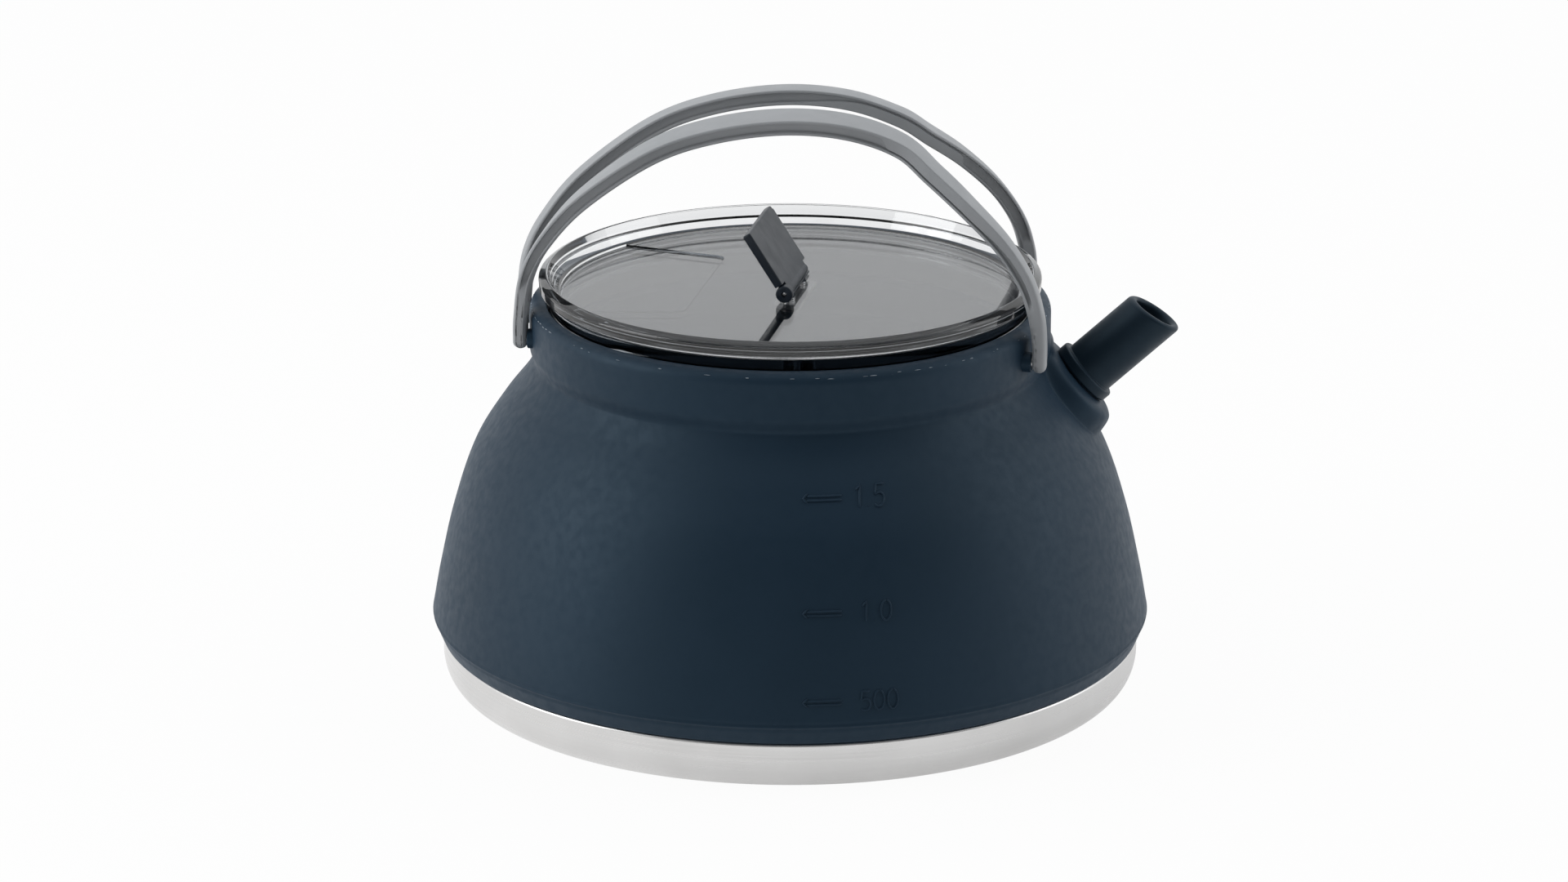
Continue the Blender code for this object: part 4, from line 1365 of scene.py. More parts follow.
@dataclass
class Spout:
    """Soft stub spout, its collar, the boss that carries it and the ring that holds it.

    boss_edge holds (distance from the bore, height along it) points of the boss's own crest. boss_blend and
    boss_skin each hold a least size and what is added to it, uphill and toward the middle.
    """

    elevation: float = 41.8
    centre: Point3 = (0.07422, 0.0, 0.0790)
    radius: float = 0.00715
    bore: float = 0.0050
    reach: float = 0.0236
    cut_tilt: float = 15.6
    cut_start: float = 0.004
    collar_radius: float = 0.0085
    collar: float = 0.0030
    gap: float = 0.0003
    inner_boss: float = 0.0072
    inner_boss_radius: float = 0.0100
    sleeve: float = 0.0045
    ring: float = 0.0015
    ring_radius: float = 0.0095
    bead: float = 0.0014
    bead_radius: float = 0.0086
    boss_start: float = 0.00765
    boss_end: float = 0.0178
    boss_fade: float = 0.0016
    boss_blend: Point2 = (0.0012, 0.0046)
    boss_sink: float = 0.00005
    boss_skin: Point2 = (0.0009, 0.0006)
    boss_rows: int = 44
    boss_edge: tuple[Point2, ...] = (
        (0.00765, -0.00180),
        (0.00980, -0.00190),
        (0.01140, -0.00215),
        (0.01240, -0.00260),
        (0.01300, -0.00320),
        (0.01345, -0.00420),
        (0.01385, -0.00560),
        (0.01450, -0.00820),
        (0.01550, -0.01250),
        (0.01900, -0.02500),
    )
    segments: int = 96

    def axes(self) -> Matrix:
        """Matrix from the spout's own axes, with Z along its bore, to the kettle's."""
        tilt = math.radians(90.0 - self.elevation)
        return Matrix.Translation(self.centre) @ Matrix.Rotation(tilt, 4, "Y")

    def inner_face(self) -> float:
        """Where the inner boss ends, along the bore from the collar's middle."""
        return -self.collar / 2 - self.gap - self.inner_boss

    def wall_height(self, body: SiliconeBody, u: float, v: float) -> float:
        """Find the silicone wall below a point of the collar's middle plane.

        Args:
            body: The silicone body.
            u: The point's first place in the spout's axes.
            v: Its second place.

        Returns:
            The wall's height along the bore.
        """
        axes = self.axes()
        low, high = -0.024, 0.014
        for _ in range(30):
            middle = (low + high) / 2
            spot = axes @ Vector((u, v, middle))
            inside = math.hypot(spot.x, spot.y) < body.radius_at(spot.z)
            low, high = (middle, high) if inside else (low, middle)
        return (low + high) / 2

    def boss_pair(self, body: SiliconeBody, radius: float, angle: float) -> tuple[Vector, Vector]:
        """Shape the boss at one place round the bore.

        Args:
            body: The silicone body that it grows from.
            radius: Distance from the bore's axis.
            angle: Angle round it, in radians.

        Returns:
            The point on the boss's skin and the one under it.
        """
        u, v = radius * math.cos(angle), radius * math.sin(angle)
        wall = self.wall_height(body, u, v)
        uphill = smooth_step((0.3 - math.cos(angle)) / 1.2)
        blend = self.boss_blend[0] + self.boss_blend[1] * uphill
        height = smooth_max(wall, along(self.boss_edge, radius), blend)
        fade = ease(radius, self.boss_end - self.boss_fade, self.boss_fade)
        height += (wall - self.boss_sink - height) * fade
        under = min(wall, height) - self.boss_skin[0] - self.boss_skin[1] * (1 - fade)
        return Vector((u, v, height)), Vector((u, v, under))

    def boss(self, body: SiliconeBody) -> bpy.types.Object:
        """Boss on the shoulder that flows into the wall all round.

        Args:
            body: The silicone body that it grows from.

        Returns:
            The boss as a closed piece in the kettle's axes.
        """
        top: list[list[Vector]] = []
        under: list[list[Vector]] = []
        for row in range(self.boss_rows + 1):
            radius = self.boss_start + (self.boss_end - self.boss_start) * row / self.boss_rows
            angles = [2 * math.pi * step / self.segments for step in range(self.segments)]
            pairs = [self.boss_pair(body, radius, angle) for angle in angles]
            top.append([pair[0] for pair in pairs])
            under.append([pair[1] for pair in pairs])
        rings = top + list(reversed(under))
        count = self.segments
        vertices = [tuple(point) for ring in rings for point in ring]
        faces: list[Face] = []
        for level in range(len(rings)):
            first, second = level * count, ((level + 1) % len(rings)) * count
            for step in range(count):
                following = (step + 1) % count
                faces.append((first + step, first + following, second + following, second + step))
        boss = mesh_object("spout_boss", vertices, faces)
        return even_normals(place(boss, self.axes()), 50.0)

    def tube_profile(self) -> Profile:
        """Outline the tube's wall.

        Returns:
            Closed section with the collar, the lip and the inner bead.
        """
        half = self.collar / 2
        bead_top = self.inner_face() - self.gap - self.ring - self.gap
        bead_foot = bead_top - self.bead
        corners = [
            (self.radius, self.reach, 0.00110),
            (self.radius, half, 0.0003),
            (self.collar_radius, half, 0.00135),
            (self.collar_radius, -half, 0.00135),
            (self.radius, -half, 0.0001),
            (self.radius, bead_top, 0.0001),
            (self.bead_radius, bead_top, 0.0003),
            (self.bead_radius, bead_top - 0.0009, 0.0003),
            (self.radius, bead_foot, 0.0003),
            (self.bore, bead_foot, 0.0004),
            (self.bore, self.reach, 0.00110),
        ]
        return rounded(corners, closed=True, spans=8)

    def sleeve_profile(self, low: float, high: float, outer: float, rounds: Point2, top: Point2) -> Profile:
        """Outline a sleeve round the tube.

        Args:
            low: Its lower end along the bore.
            high: Its upper end.
            outer: Its outer radius.
            rounds: Fillets of the lower end, outer and inner.
            top: Fillets of the upper end, outer and inner.

        Returns:
            The sleeve's closed section.
        """
        inner = self.radius + self.gap
        corners = [
            (outer, high, top[0]),
            (outer, low, rounds[0]),
            (inner, low, rounds[1]),
            (inner, high, top[1]),
        ]
        return rounded(corners, closed=True)

    def build_tube(self, finishes: Finishes) -> None:
        """Build the tube with its slanted mouth.

        Args:
            finishes: The kettle's finishes.
        """
        tube = lathe("spout", divided(self.tube_profile(), 0.0012), self.segments, closed=True)
        slope = math.tan(math.radians(self.cut_tilt))
        for vertex in tube.data.vertices:
            share = min(max((vertex.co.z - self.cut_start) / (self.reach - self.cut_start), 0.0), 1.0)
            vertex.co.z += vertex.co.x * slope * share
        even_normals(place(tube, self.axes()), 60.0)
        settle(dress(tube, finishes.spout), Body.NECK, "spout_tube")

    def build(self, finishes: Finishes) -> None:
        """Build the tube, the inner boss and the retaining ring.

        Args:
            finishes: The kettle's finishes.
        """
        self.build_tube(finishes)
        low = self.inner_face()
        high = low + self.sleeve
        sleeve = self.sleeve_profile(low, high, self.inner_boss_radius, (0.0006, 0.0003), (0.0, 0.0))
        inner = even_normals(place(lathe("inner_spout_boss", sleeve, 72, closed=True), self.axes()))
        settle(dress(inner, finishes.silicone), Body.NECK)
        top = low - self.gap
        ring = self.sleeve_profile(top - self.ring, top, self.ring_radius, (0.0004, 0.0003), (0.0003, 0.0002))
        holder = even_normals(place(lathe("spout_holding_ring", ring, 72, closed=True), self.axes()))
        settle(dress(holder, finishes.frame), Body.NECK, "spout_retaining_ring")


@dataclass
class NeckRing:
    """Stiff ring inside the neck with the ledge that the lid's skirt stands on."""

    inner: float = 0.06135
    outer: float = 0.06305
    top: float = 0.0970
    bottom: float = 0.0843
    ledge_top: float = 0.0917
    ledge_inner: float = 0.05765
    ledge: float = 0.0009

    def build(self, finishes: Finishes) -> None:
        """Build the ring.

        Args:
            finishes: The kettle's finishes.
        """
        corners = [
            (self.outer, self.top, 0.0003),
            (self.outer, self.bottom, 0.0003),
            (self.inner, self.bottom, 0.0003),
            (self.inner, self.ledge_top - 2 * self.ledge, 0.0008),
            (self.ledge_inner, self.ledge_top - self.ledge, 0.0003),
            (self.ledge_inner, self.ledge_top, 0.0003),
            (self.inner, self.ledge_top, 0.0003),
            (self.inner, self.top, 0.0003),
        ]
        ring = even_normals(lathe("neck_ring", rounded(corners, closed=True, spans=4), 192, closed=True))
        settle(dress(ring, finishes.frame), Body.NECK, "neck_frame")


@dataclass
class Lid:
    """Clear dish lid with its pocket and its seal ring."""

    turn: float = -11.4
    skirt: float = 0.0602
    skirt_wall: float = 0.0024
    seat: float = 0.0920
    neck_top: float = 0.0984
    top: float = 0.1051
    rim: float = 0.0631
    rim_edge: float = 0.0021
    crown: float = 0.00075
    floor: float = 0.1008
    floor_radius: float = 0.0578
    floor_thickness: float = 0.0036
    groove_low: float = 0.0012
    groove_high: float = 0.0032
    groove_depth: float = 0.0010
    seal_gap: float = 0.0003
    seal_lip: float = 0.0007
    pocket_edge: float = 0.0218
    pocket_half: float = 0.0250
    pocket_flare: float = 11.3
    pocket_corner: float = 0.0030
    pocket_depth: float = 0.0005
    pocket_foot: float = 0.9976
    pocket_steps: int = 40
    knob_spot: Point3 = (0.0010, 0.0005, 0.1030)
    post_spread: float = 0.007
    post_hole: float = 0.0016
    segments: int = 288

    def axes(self) -> Matrix:
        """Matrix from the lid's own axes to the kettle's."""
        return Matrix.Rotation(math.radians(self.turn), 4, "Z")

    def knob_axes(self) -> Matrix:
        """Matrix from the knob hinge's axes to the kettle's."""
        return self.axes() @ Matrix.Translation(self.knob_spot)

    def shell_profile(self) -> Profile:
        """Outline the clear shell.

        Returns:
            Points from the floor's middle over the rim and down the skirt to the underside's middle.
        """
        under = self.floor - self.floor_thickness
        step_height = (self.neck_top + self.top) / 2
        step = (self.skirt + self.rim) / 2
        skirt_inner = self.skirt - self.skirt_wall
        groove = self.skirt - self.groove_depth
        groove_low, groove_high = self.seat + self.groove_low, self.seat + self.groove_high
        return rounded(
            [
                (0.0, self.floor, 0.0),
                (self.floor_radius + 0.0002, self.floor, 0.0014),
                (self.rim - self.rim_edge, self.top + self.crown, 0.0005),
                (self.rim, self.top - 0.0003, 0.0009),
                (self.rim - 0.0001, step_height + 0.0003, 0.0006),
                (step, step_height - 0.0002, 0.0004),
                (self.skirt + 0.0002, self.neck_top, 0.0006),
                (self.skirt, groove_high, 0.0001),
                (groove, groove_high, 0.0001),
                (groove, groove_low, 0.0001),
                (self.skirt, groove_low, 0.0001),
                (self.skirt, self.seat, 0.0004),
                (skirt_inner, self.seat, 0.0004),
                (skirt_inner, under, 0.0006),
                (0.0, under, 0.0),
            ],
            closed=False,
            spans=7,
        )

    def pocket_outline(self) -> Profile:
        """Outline the pocket on the floor's left.

        Returns:
            Closed outline, round at the floor's edge and with two round corners inside it.
        """
        reach = self.floor_radius
        flare = math.radians(self.pocket_flare)
        corner = Vector((-self.pocket_edge, self.pocket_half))
        away = Vector((-math.cos(flare), math.sin(flare)))
        run = -corner.dot(away) + math.sqrt(corner.dot(away) ** 2 - corner.length_squared + reach**2)
        meet = corner + away * run
        start = math.atan2(meet.y, -meet.x)
        corners: list[Point3] = []
        for step in range(self.pocket_steps + 1):
            angle = math.pi - start + 2 * start * step / self.pocket_steps
            corners.append((reach * math.cos(angle), reach * math.sin(angle), 0.0))
        for hand in (-1, 1):
            corners.append((corner.x, hand * corner.y, self.pocket_corner))
        return rounded(corners, closed=True, spans=7)

    def pocket_cutter(self) -> bpy.types.Object:
        """Form the cutter of the shallow pocket, drawn in a little at its foot.

        Returns:
            The cutter, in the lid's own axes.
        """
        outline = self.pocket_outline()
        low = self.floor - self.pocket_depth
        rings = []
        for height, grow in ((low, self.pocket_foot), (low + 0.0001, 1.0), (self.floor + 0.0008, 1.0)):
            rings.append([Vector((x * grow, y * grow, height)) for x, y in outline])
        return loft("pocket", rings)

    def build_seal(self, finishes: Finishes) -> None:
        """Build the seal ring in the skirt's groove.

        Args:
            finishes: The kettle's finishes.
        """
        low, high = self.seat + self.groove_low + self.seal_gap, self.seat + self.groove_high - self.seal_gap
        middle = (low + high) / 2
        inner, lip = self.skirt - self.groove_depth + self.seal_gap, self.skirt + self.seal_lip
        corners = [
            (inner, low, 0.0002),
            (inner, high, 0.0002),
            (self.skirt + 0.0001, high, 0.0002),
            (lip, middle + 0.0002, 0.0002),
            (lip, middle - 0.0002, 0.0002),
            (self.skirt + 0.0001, low, 0.0002),
        ]
        ring = even_normals(lathe("lid_seal_ring", rounded(corners, closed=True, spans=3), 192, closed=True))
        settle(dress(ring, finishes.gasket), Body.LID_SEAL, "lid_gasket")

    def build(self, finishes: Finishes) -> None:
        """Build the clear shell with its pocket and post holes, and the seal ring.

        Args:
            finishes: The kettle's finishes.
        """
        shell = carve(lathe("clear_lid", self.shell_profile(), self.segments), self.pocket_cutter())
        low, high = self.seat + 0.003, self.seat + 0.011
        rod = [(0.0, high), (self.post_hole, high), (self.post_hole, low), (0.0, low)]
        for side in (-1, 1):
            spot = (self.knob_spot[0], self.knob_spot[1] + side * self.post_spread, 0.0)
            shell = carve(shell, place(lathe("post_hole", rod, 32), Matrix.Translation(spot)))
        even_normals(place(shell, self.axes()), 35.0)
        settle(dress(shell, finishes.clear), Body.LID, "lid_shell")
        self.build_seal(finishes)


@dataclass
class Knob:
    """Fold-down knob: a bracket riveted through the lid, the flap that it carries and their hinge pin."""

    width: float = 0.0270
    length: float = 0.0177
    thickness: float = 0.0022
    lean: float = 33.0
    near_lug: float = 0.00215
    far_lug: float = 0.0012
    lug_thickness: float = 0.0026
    near_foot: float = 0.0011
    far_foot: float = 0.0006
    rail: float = 0.0006
    gap: float = 0.0003
    bore: float = 0.00068
    barrel: float = 0.0014
    barrel_bore: float = 0.0007
    root: float = 0.0012
    nick: float = 0.0011
    pin: float = 0.0006
    pin_recess: float = 0.0007
    post: float = 0.0014
    head: float = 0.0023
    head_height: float = 0.0009
    plate: Point3 = (0.0070, 0.0220, 0.0012)

    def plate_top(self, lid: Lid) -> float:
        """Top of the retaining plate, measured from the hinge."""
        return lid.floor - lid.knob_spot[2] - lid.floor_thickness - self.gap

    def build_bracket(self, finishes: Finishes, lid: Lid) -> None:
        """Build the rail with its two lugs and its riveted posts.

        Args:
            finishes: The kettle's finishes.
            lid: The lid that carries it.
        """
        half = self.width / 2
        floor = self.gap + lid.floor - lid.knob_spot[2]
        head_top = self.plate_top(lid) - self.plate[2] - self.gap
        rail_low, rail_high = (-self.near_foot, -half, floor), (self.near_foot, half, floor + self.rail)
        work = slab("knob_lugs", rail_low, rail_high, 0.00015)
        for side, lug, foot in ((-1, self.near_lug, self.near_foot), (1, self.far_lug, self.far_foot)):
            outer, inner = side * half, side * (half - self.lug_thickness)
            low, high = (-foot, min(outer, inner), floor), (foot, max(outer, inner), 0.0)
            work = carve(work, slab("foot", low, high, 0.0001), "UNION")
            work = carve(work, bar("eye", (0.0, inner, 0.0), (0.0, outer, 0.0), lug, 0.0004), "UNION")
            post_y = side * lid.post_spread
            for name, radius, top, bottom, edge in (
                ("post", self.post, floor + 0.0003, head_top - 0.0002, 0.0),
                ("head", self.head, head_top, head_top - self.head_height, 0.0004),
            ):
                rod = bar(name, (0.0, post_y, top), (0.0, post_y, bottom), radius, edge)
                work = carve(work, rod, "UNION")
        work = carve(work, bar("bore", (0.0, -half - 0.001, 0.0), (0.0, half + 0.001, 0.0), self.bore, 0.0))
        even_normals(place(work, lid.knob_axes()), 35.0)
        settle(dress(work, finishes.knob), Body.LID, "knob_bracket")

    def build_plate(self, finishes: Finishes, lid: Lid) -> None:
        """Build the plate under the lid's floor that the posts are riveted to.

        Args:
            finishes: The kettle's finishes.
            lid: The lid above it.
        """
        top = self.plate_top(lid)
        half_x, half_y = self.plate[0] / 2, self.plate[1] / 2
        low, high = (-half_x, -half_y, top - self.plate[2]), (half_x, half_y, top)
        plate = slab("retaining_plate", low, high, 0.0003)
        for side in (-1, 1):
            y = side * lid.post_spread
            hole = bar("hole", (0.0, y, top + 0.001), (0.0, y, top - 0.003), lid.post_hole, 0.0)
            plate = carve(plate, hole)
        even_normals(place(plate, lid.knob_axes()), 35.0)
        settle(dress(plate, finishes.frame), Body.LID, "knob_retainer")

    def build_flap(self, finishes: Finishes, lid: Lid) -> None:
        """Build the leaning flap, with its barrel between the lugs and one nicked corner.

        Args:
            finishes: The kettle's finishes.
            lid: The lid that it folds down on.
        """
        half, thick, past = self.width / 2, self.thickness / 2, 0.003
        notch = self.far_lug + self.gap
        barrel = half - self.lug_thickness - self.gap
        leaf = slab("knob_flap_leaf", (-thick, -half, notch), (thick, half, self.length), 0.0005, 4)
        near = slab("near", (-past, -half - 0.001, -0.001), (past, -barrel, self.near_lug + self.gap), 0.0)
        leaf = carve(leaf, near)
        root = slab("root", (-thick, -barrel, 0.0), (thick, barrel, notch + self.root), 0.0)
        leaf = carve(leaf, root, "UNION")
        rod = bar("barrel", (0.0, -barrel, 0.0), (0.0, barrel, 0.0), self.barrel, 0.0003)
        leaf = carve(leaf, rod, "UNION")
        leaf = carve(leaf, bar("bore", (0.0, -half, 0.0), (0.0, half, 0.0), self.barrel_bore, 0.0))
        nick_low = (-past, half - self.nick, self.length - self.nick)
        leaf = carve(leaf, slab("corner", nick_low, (past, half + 0.002, 0.03), 0.0))
        lean = Matrix.Rotation(-math.radians(self.lean), 4, "Y")
        even_normals(place(leaf, lid.knob_axes() @ lean), 35.0)
        settle(dress(leaf, finishes.knob), Body.KNOB, "knob_flap")

    def build_pin(self, finishes: Finishes, lid: Lid) -> None:
        """Build the hinge pin, sunk a little at both ends.

        Args:
            finishes: The kettle's finishes.
            lid: The lid that carries the hinge.
        """
        end = self.width / 2 - self.pin_recess
        pin = bar("knob_pin", (0.0, -end, 0.0), (0.0, end, 0.0), self.pin, 0.0002)
        even_normals(place(pin, lid.knob_axes()), 35.0)
        settle(dress(pin, finishes.pin), Body.KNOB, "knob_hinge_pin")

    def build(self, finishes: Finishes, lid: Lid) -> None:
        """Build the whole knob.

        Args:
            finishes: The kettle's finishes.
            lid: The lid that carries it.
        """
        self.build_bracket(finishes, lid)
        self.build_plate(finishes, lid)
        self.build_flap(finishes, lid)
        self.build_pin(finishes, lid)


@dataclass(frozen=True)
class Channel:
    """Channel in one flank of a bail."""

    depth: float
    upper: float
    lower: float


@dataclass
class Bail:
    """One bail: slim rounded legs that swell into a channelled grip.

    The pairs for growth, run, channel, narrow, widen and end each hold the start and the run of an ease, over
    the rise above the pivots or over the place along the bail. The route holds (x, y, rise) points.
    """

    side: Side
    pivot_height: float = 0.0910
    pivot_left: Point2 = (-0.0673, -0.0102)
    pivot_right: Point2 = (0.0614, -0.0310)
    leg_width: float = 0.0052
    leg_thickness: float = 0.0036
    grip_width: float = 0.0098
    grip_thickness: float = 0.0040
    roll: float = 5.0
    left_width_growth: Point2 = (0.0110, 0.0480)
    left_thickness_growth: Point2 = (0.0100, 0.0300)
    right_width_growth: Point2 = (0.0150, 0.0400)
    right_thickness_growth: Point2 = (0.0030, 0.0100)
    corner: float = 0.00125
    corner_loss: float = 0.00085
    corner_run: Point2 = (0.004, 0.030)
    channel: float = 0.0012
    channel_edge: float = 0.00018
    channel_fillet: float = 0.00012
    channel_left: Point2 = (0.0125, 0.0040)
    channel_right: Point2 = (0.0135, 0.0035)
    flange: float = 0.0007
    outer_narrow: Point2 = (0.0225, 0.0020)
    outer_widen: Point2 = (0.046, 0.010)
    outer_flange: Point2 = (0.00205, 0.0009)
    outer_shallow: float = 0.30
    inner_narrow: Point2 = (0.0005, 0.0200)
    inner_end: Point2 = (0.0415, 0.0020)
    inner_flange: float = 0.0019
    inner_shallow: float = 0.45
    crown: float = 0.02
    tip_angle: float = 86.0
    tip_steps: int = 9
    steps: int = 10
    pin: float = 0.0015
    pin_sink: float = 0.0006
    pin_grip: float = 0.0012
    end_edge: float = 0.0003
    bush: float = 0.0025
    bush_gap: float = 0.00006
    frame_radius: float = 0.06305
    frame_gap: float = 0.0004
    route: tuple[Point3, ...] = (
        (-0.0671, -0.0101, 0.0060),
        (-0.0656, -0.0099, 0.0160),
        (-0.0610, -0.0103, 0.0251),
        (-0.0515, -0.0112, 0.0362),
        (-0.0347, -0.0124, 0.0484),
        (-0.0195, -0.0130, 0.0541),
        (-0.0020, -0.0132, 0.05655),
        (0.0140, -0.0133, 0.0553),
        (0.0270, -0.0140, 0.0508),
        (0.0354, -0.0187, 0.0445),
        (0.0438, -0.0240, 0.0375),
        (0.0520, -0.0270, 0.0292),
        (0.0578, -0.0290, 0.0203),
        (0.0605, -0.0305, 0.0120),
        (0.0614, -0.0310, 0.0050),
    )

    def pivots(self) -> tuple[Vector, Vector]:
        """Find the two pivots.

        Returns:
            The left and the right pivot's centre.
        """
        sign = self.side.value
        left = Vector((self.pivot_left[0], sign * self.pivot_left[1], self.pivot_height))
        right = Vector((self.pivot_right[0], sign * self.pivot_right[1], self.pivot_height))
        return left, right

    def channel_at(self, x: float, rise: float, outer: bool) -> Channel:
        """Size of the channel in one flank.

        Args:
            x: Place along the bail.
            rise: Height above the pivots.
            outer: True for the flank that faces away from the other bail.

        Returns:
            The channel there.
        """
        upper = lower = self.flange
        depth = self.channel * ease(rise, *(self.channel_left if x < 0 else self.channel_right))
        if outer:
            narrow, widen = ease(x, *self.outer_narrow), ease(x, *self.outer_widen)
            upper += (self.outer_flange[0] - self.outer_flange[1] * widen) * narrow
            depth *= 1 - self.outer_shallow * narrow * (1 - widen)
        else:
            narrow = ease(x, *self.inner_narrow) * (1 - ease(x, *self.inner_end))
            lower += self.inner_flange * narrow
            depth *= 1 - self.inner_shallow * narrow
        return Channel(depth, upper, lower)

    def flank(self, half: float, top: float, corner: float, crown: float, channel: Channel) -> Profile:
        """Outline one flank from its upper corner over the channel to its lower corner.

        Args:
            half: Half the section's width.
            top: Half its thickness.
            corner: Radius of its corners.
            crown: How far the faces bulge between the corners.
            channel: The channel in this flank.

        Returns:
            (across, out) points, the same number for any size.
        """
        edge = min(self.channel_edge, max(channel.depth, 1e-5) * 0.4)
        high = max(top - channel.upper, -top + channel.lower + 0.0003)
        low = min(-top + channel.lower, high - 0.0002)
        wall_top = min(high, top - crown - corner * 0.6)
        wall_low = max(low, -top + crown + corner * 0.6)
        return [
            *bow((half - corner, top - crown - corner), (corner, corner), (90, 0), 4),
            (half, wall_top),
            (half - edge, wall_top - edge * 0.6),
            (half - channel.depth, wall_top - edge - self.channel_fillet),
            (half - channel.depth, wall_low + edge + self.channel_fillet),
            (half - edge, wall_low + edge * 0.6),
            (half, wall_low),
            *bow((half - corner, -top + crown + corner), (corner, corner), (0, -90), 4),
        ]

    def section(
        self, width: float, thickness: float, corner: float, channels: tuple[Channel, Channel]
    ) -> Profile:
        """Outline the bail's section.

        Args:
            width: Across the section.
            thickness: From its inside to its outside.
            corner: Radius of its four corners.
            channels: The channel in the +across flank and the one in the -across flank.

        Returns:
            Closed (across, out) points, the same number for any size.
        """
        half, top = width / 2, thickness / 2
        corner = min(corner, half * 0.98, top * 0.98)
        crown = self.crown * thickness
        near = self.flank(half, top, corner, crown, channels[0])
        far = self.flank(half, top, corner, crown, channels[1])
        under = [(half * 0.4, -top + crown * 0.3), (0.0, -top), (-half * 0.4, -top + crown * 0.3)]
        over = [(-half * 0.4, top - crown * 0.3), (0.0, top), (half * 0.4, top - crown * 0.3)]
        return near + under + [(-across, out) for across, out in reversed(far)] + over

    def stations(self) -> list[tuple[Vector, float]]:
        """Lay out the bail's centre line.

        Returns:
            (centre, share of the full leg width) from one round tip to the other.
        """
        left, right = self.pivots()
        sign = self.side.value
        route = [Vector((x, sign * y, self.pivot_height + rise)) for x, y, rise in self.route]
        tip: list[tuple[Vector, float]] = []
        for index in range(self.tip_steps, 0, -1):
            angle = math.radians(self.tip_angle * index / self.tip_steps)
            tip.append((Vector((0.0, 0.0, self.leg_width / 2 * math.sin(angle))), math.cos(angle)))
        result = [(left - drop, share) for drop, share in tip]
        result += [(centre, 1.0) for centre in route_points([left, *route, right], self.steps)]
        result += [(right - drop, share) for drop, share in reversed(tip)]
        return result

    def tip_thickness(self, share_of_leg: float) -> float:
        """Share of the thickness that is left toward a leg's round tip.

        Args:
            share_of_leg: Share of the full leg width at that place.

        Returns:
            The thickness's share, 1 away from the tip.
        """
        depth = self.leg_width / 2 * math.sqrt(1 - share_of_leg**2)
        flat_run = (self.leg_width - self.leg_thickness) / 2
        past = max(depth - flat_run, 0.0) / (self.leg_thickness / 2)
        return math.sqrt(max(1 - past**2, 0.004))

    def ring(self, stations: Sequence[tuple[Vector, float]], index: int) -> list[Vector]:
        """Shape the bail at one station.

        Args:
            stations: All stations of the bail.
            index: Number of the one that is shaped.

        Returns:
            Points round the bail there.
        """
        left, right = self.pivots()
        sign = self.side.value
        hinge = (right - left).normalized()
        roll = math.radians(self.roll)
        across_leg = Vector((-hinge.y, hinge.x, 0.0)) * sign
        across_grip = Vector((0.0, sign * math.cos(roll), math.sin(roll)))
        centre, share_of_leg = stations[index]
        before = stations[max(index - 1, 0)][0]
        after = stations[min(index + 1, len(stations) - 1)][0]
        tangent = (after - before).normalized()
        rise = centre.z - self.pivot_height
        width_growth = self.left_width_growth if centre.x < 0 else self.right_width_growth
        thickness_growth = self.left_thickness_growth if centre.x < 0 else self.right_thickness_growth
        share, swell = ease(rise, *width_growth), ease(rise, *thickness_growth)
        across = across_leg.lerp(across_grip, share)
        across = (across - tangent * across.dot(tangent)).normalized()
        out = tangent.cross(across) * sign
        width = (self.leg_width + (self.grip_width - self.leg_width) * share) * share_of_leg
        thickness = self.leg_thickness + (self.grip_thickness - self.leg_thickness) * swell
        thickness *= self.tip_thickness(share_of_leg)
        corner = self.corner - self.corner_loss * ease(rise, *self.corner_run)
        channels = (self.channel_at(centre.x, rise, False), self.channel_at(centre.x, rise, True))
        outline = self.section(width, thickness, corner, channels)
        return [centre + across * a + out * b for a, b in outline]

    def build(self, finishes: Finishes) -> None:
        """Build the bail, its pivot pins and its bushes.

        Args:
            finishes: The kettle's finishes.
        """
        stations = self.stations()
        rings = [self.ring(stations, index) for index in range(len(stations))]
        end_name = self.side.name.lower()
        bail = even_normals(loft(f"{end_name}_bail_grip", rings), 50.0)
        body = Body.FRONT_BAIL if self.side is Side.FRONT else Body.REAR_BAIL
        settle(dress(bail, finishes.nylon), body, f"handle_{end_name}")
        left, right = self.pivots()
        hinge = (right - left).normalized()
        for hand, centre, inward in (("left", left, hinge), ("right", right, -hinge)):
            self.build_pivot(finishes, f"{end_name}_{hand}", centre, inward)

    def build_pivot(self, finishes: Finishes, label: str, centre: Vector, inward: Vector) -> None:
        """Build one pivot's pin and bush.

        Args:
            finishes: The kettle's finishes.
            label: Which pivot it is.
            centre: The pivot's place in the leg.
            inward: Level direction from the leg into the neck.
        """
        run = centre.x * inward.x + centre.y * inward.y
        offset = centre.x**2 + centre.y**2 - self.frame_radius**2
        reach = -run - math.sqrt(run * run - offset)
        pin_ends = (centre - inward * self.pin_sink, centre + inward * (reach + self.pin_grip))
        pin = bar(f"pivot_pin_{label}_rod", *pin_ends, self.pin, self.end_edge)
        settle(dress(even_normals(pin), finishes.pin), Body.NECK, f"pivot_pin_{label}")
        bush_start = centre + inward * (self.leg_thickness / 2 + self.bush_gap)
        bush_end = centre + inward * (reach - self.frame_gap)
        bush = bar(f"pivot_bush_{label}_sleeve", bush_start, bush_end, self.bush, self.end_edge)
        dress(even_normals(bush), finishes.silicone)
        settle(bush, Body.NECK, f"pivot_bush_{label}")


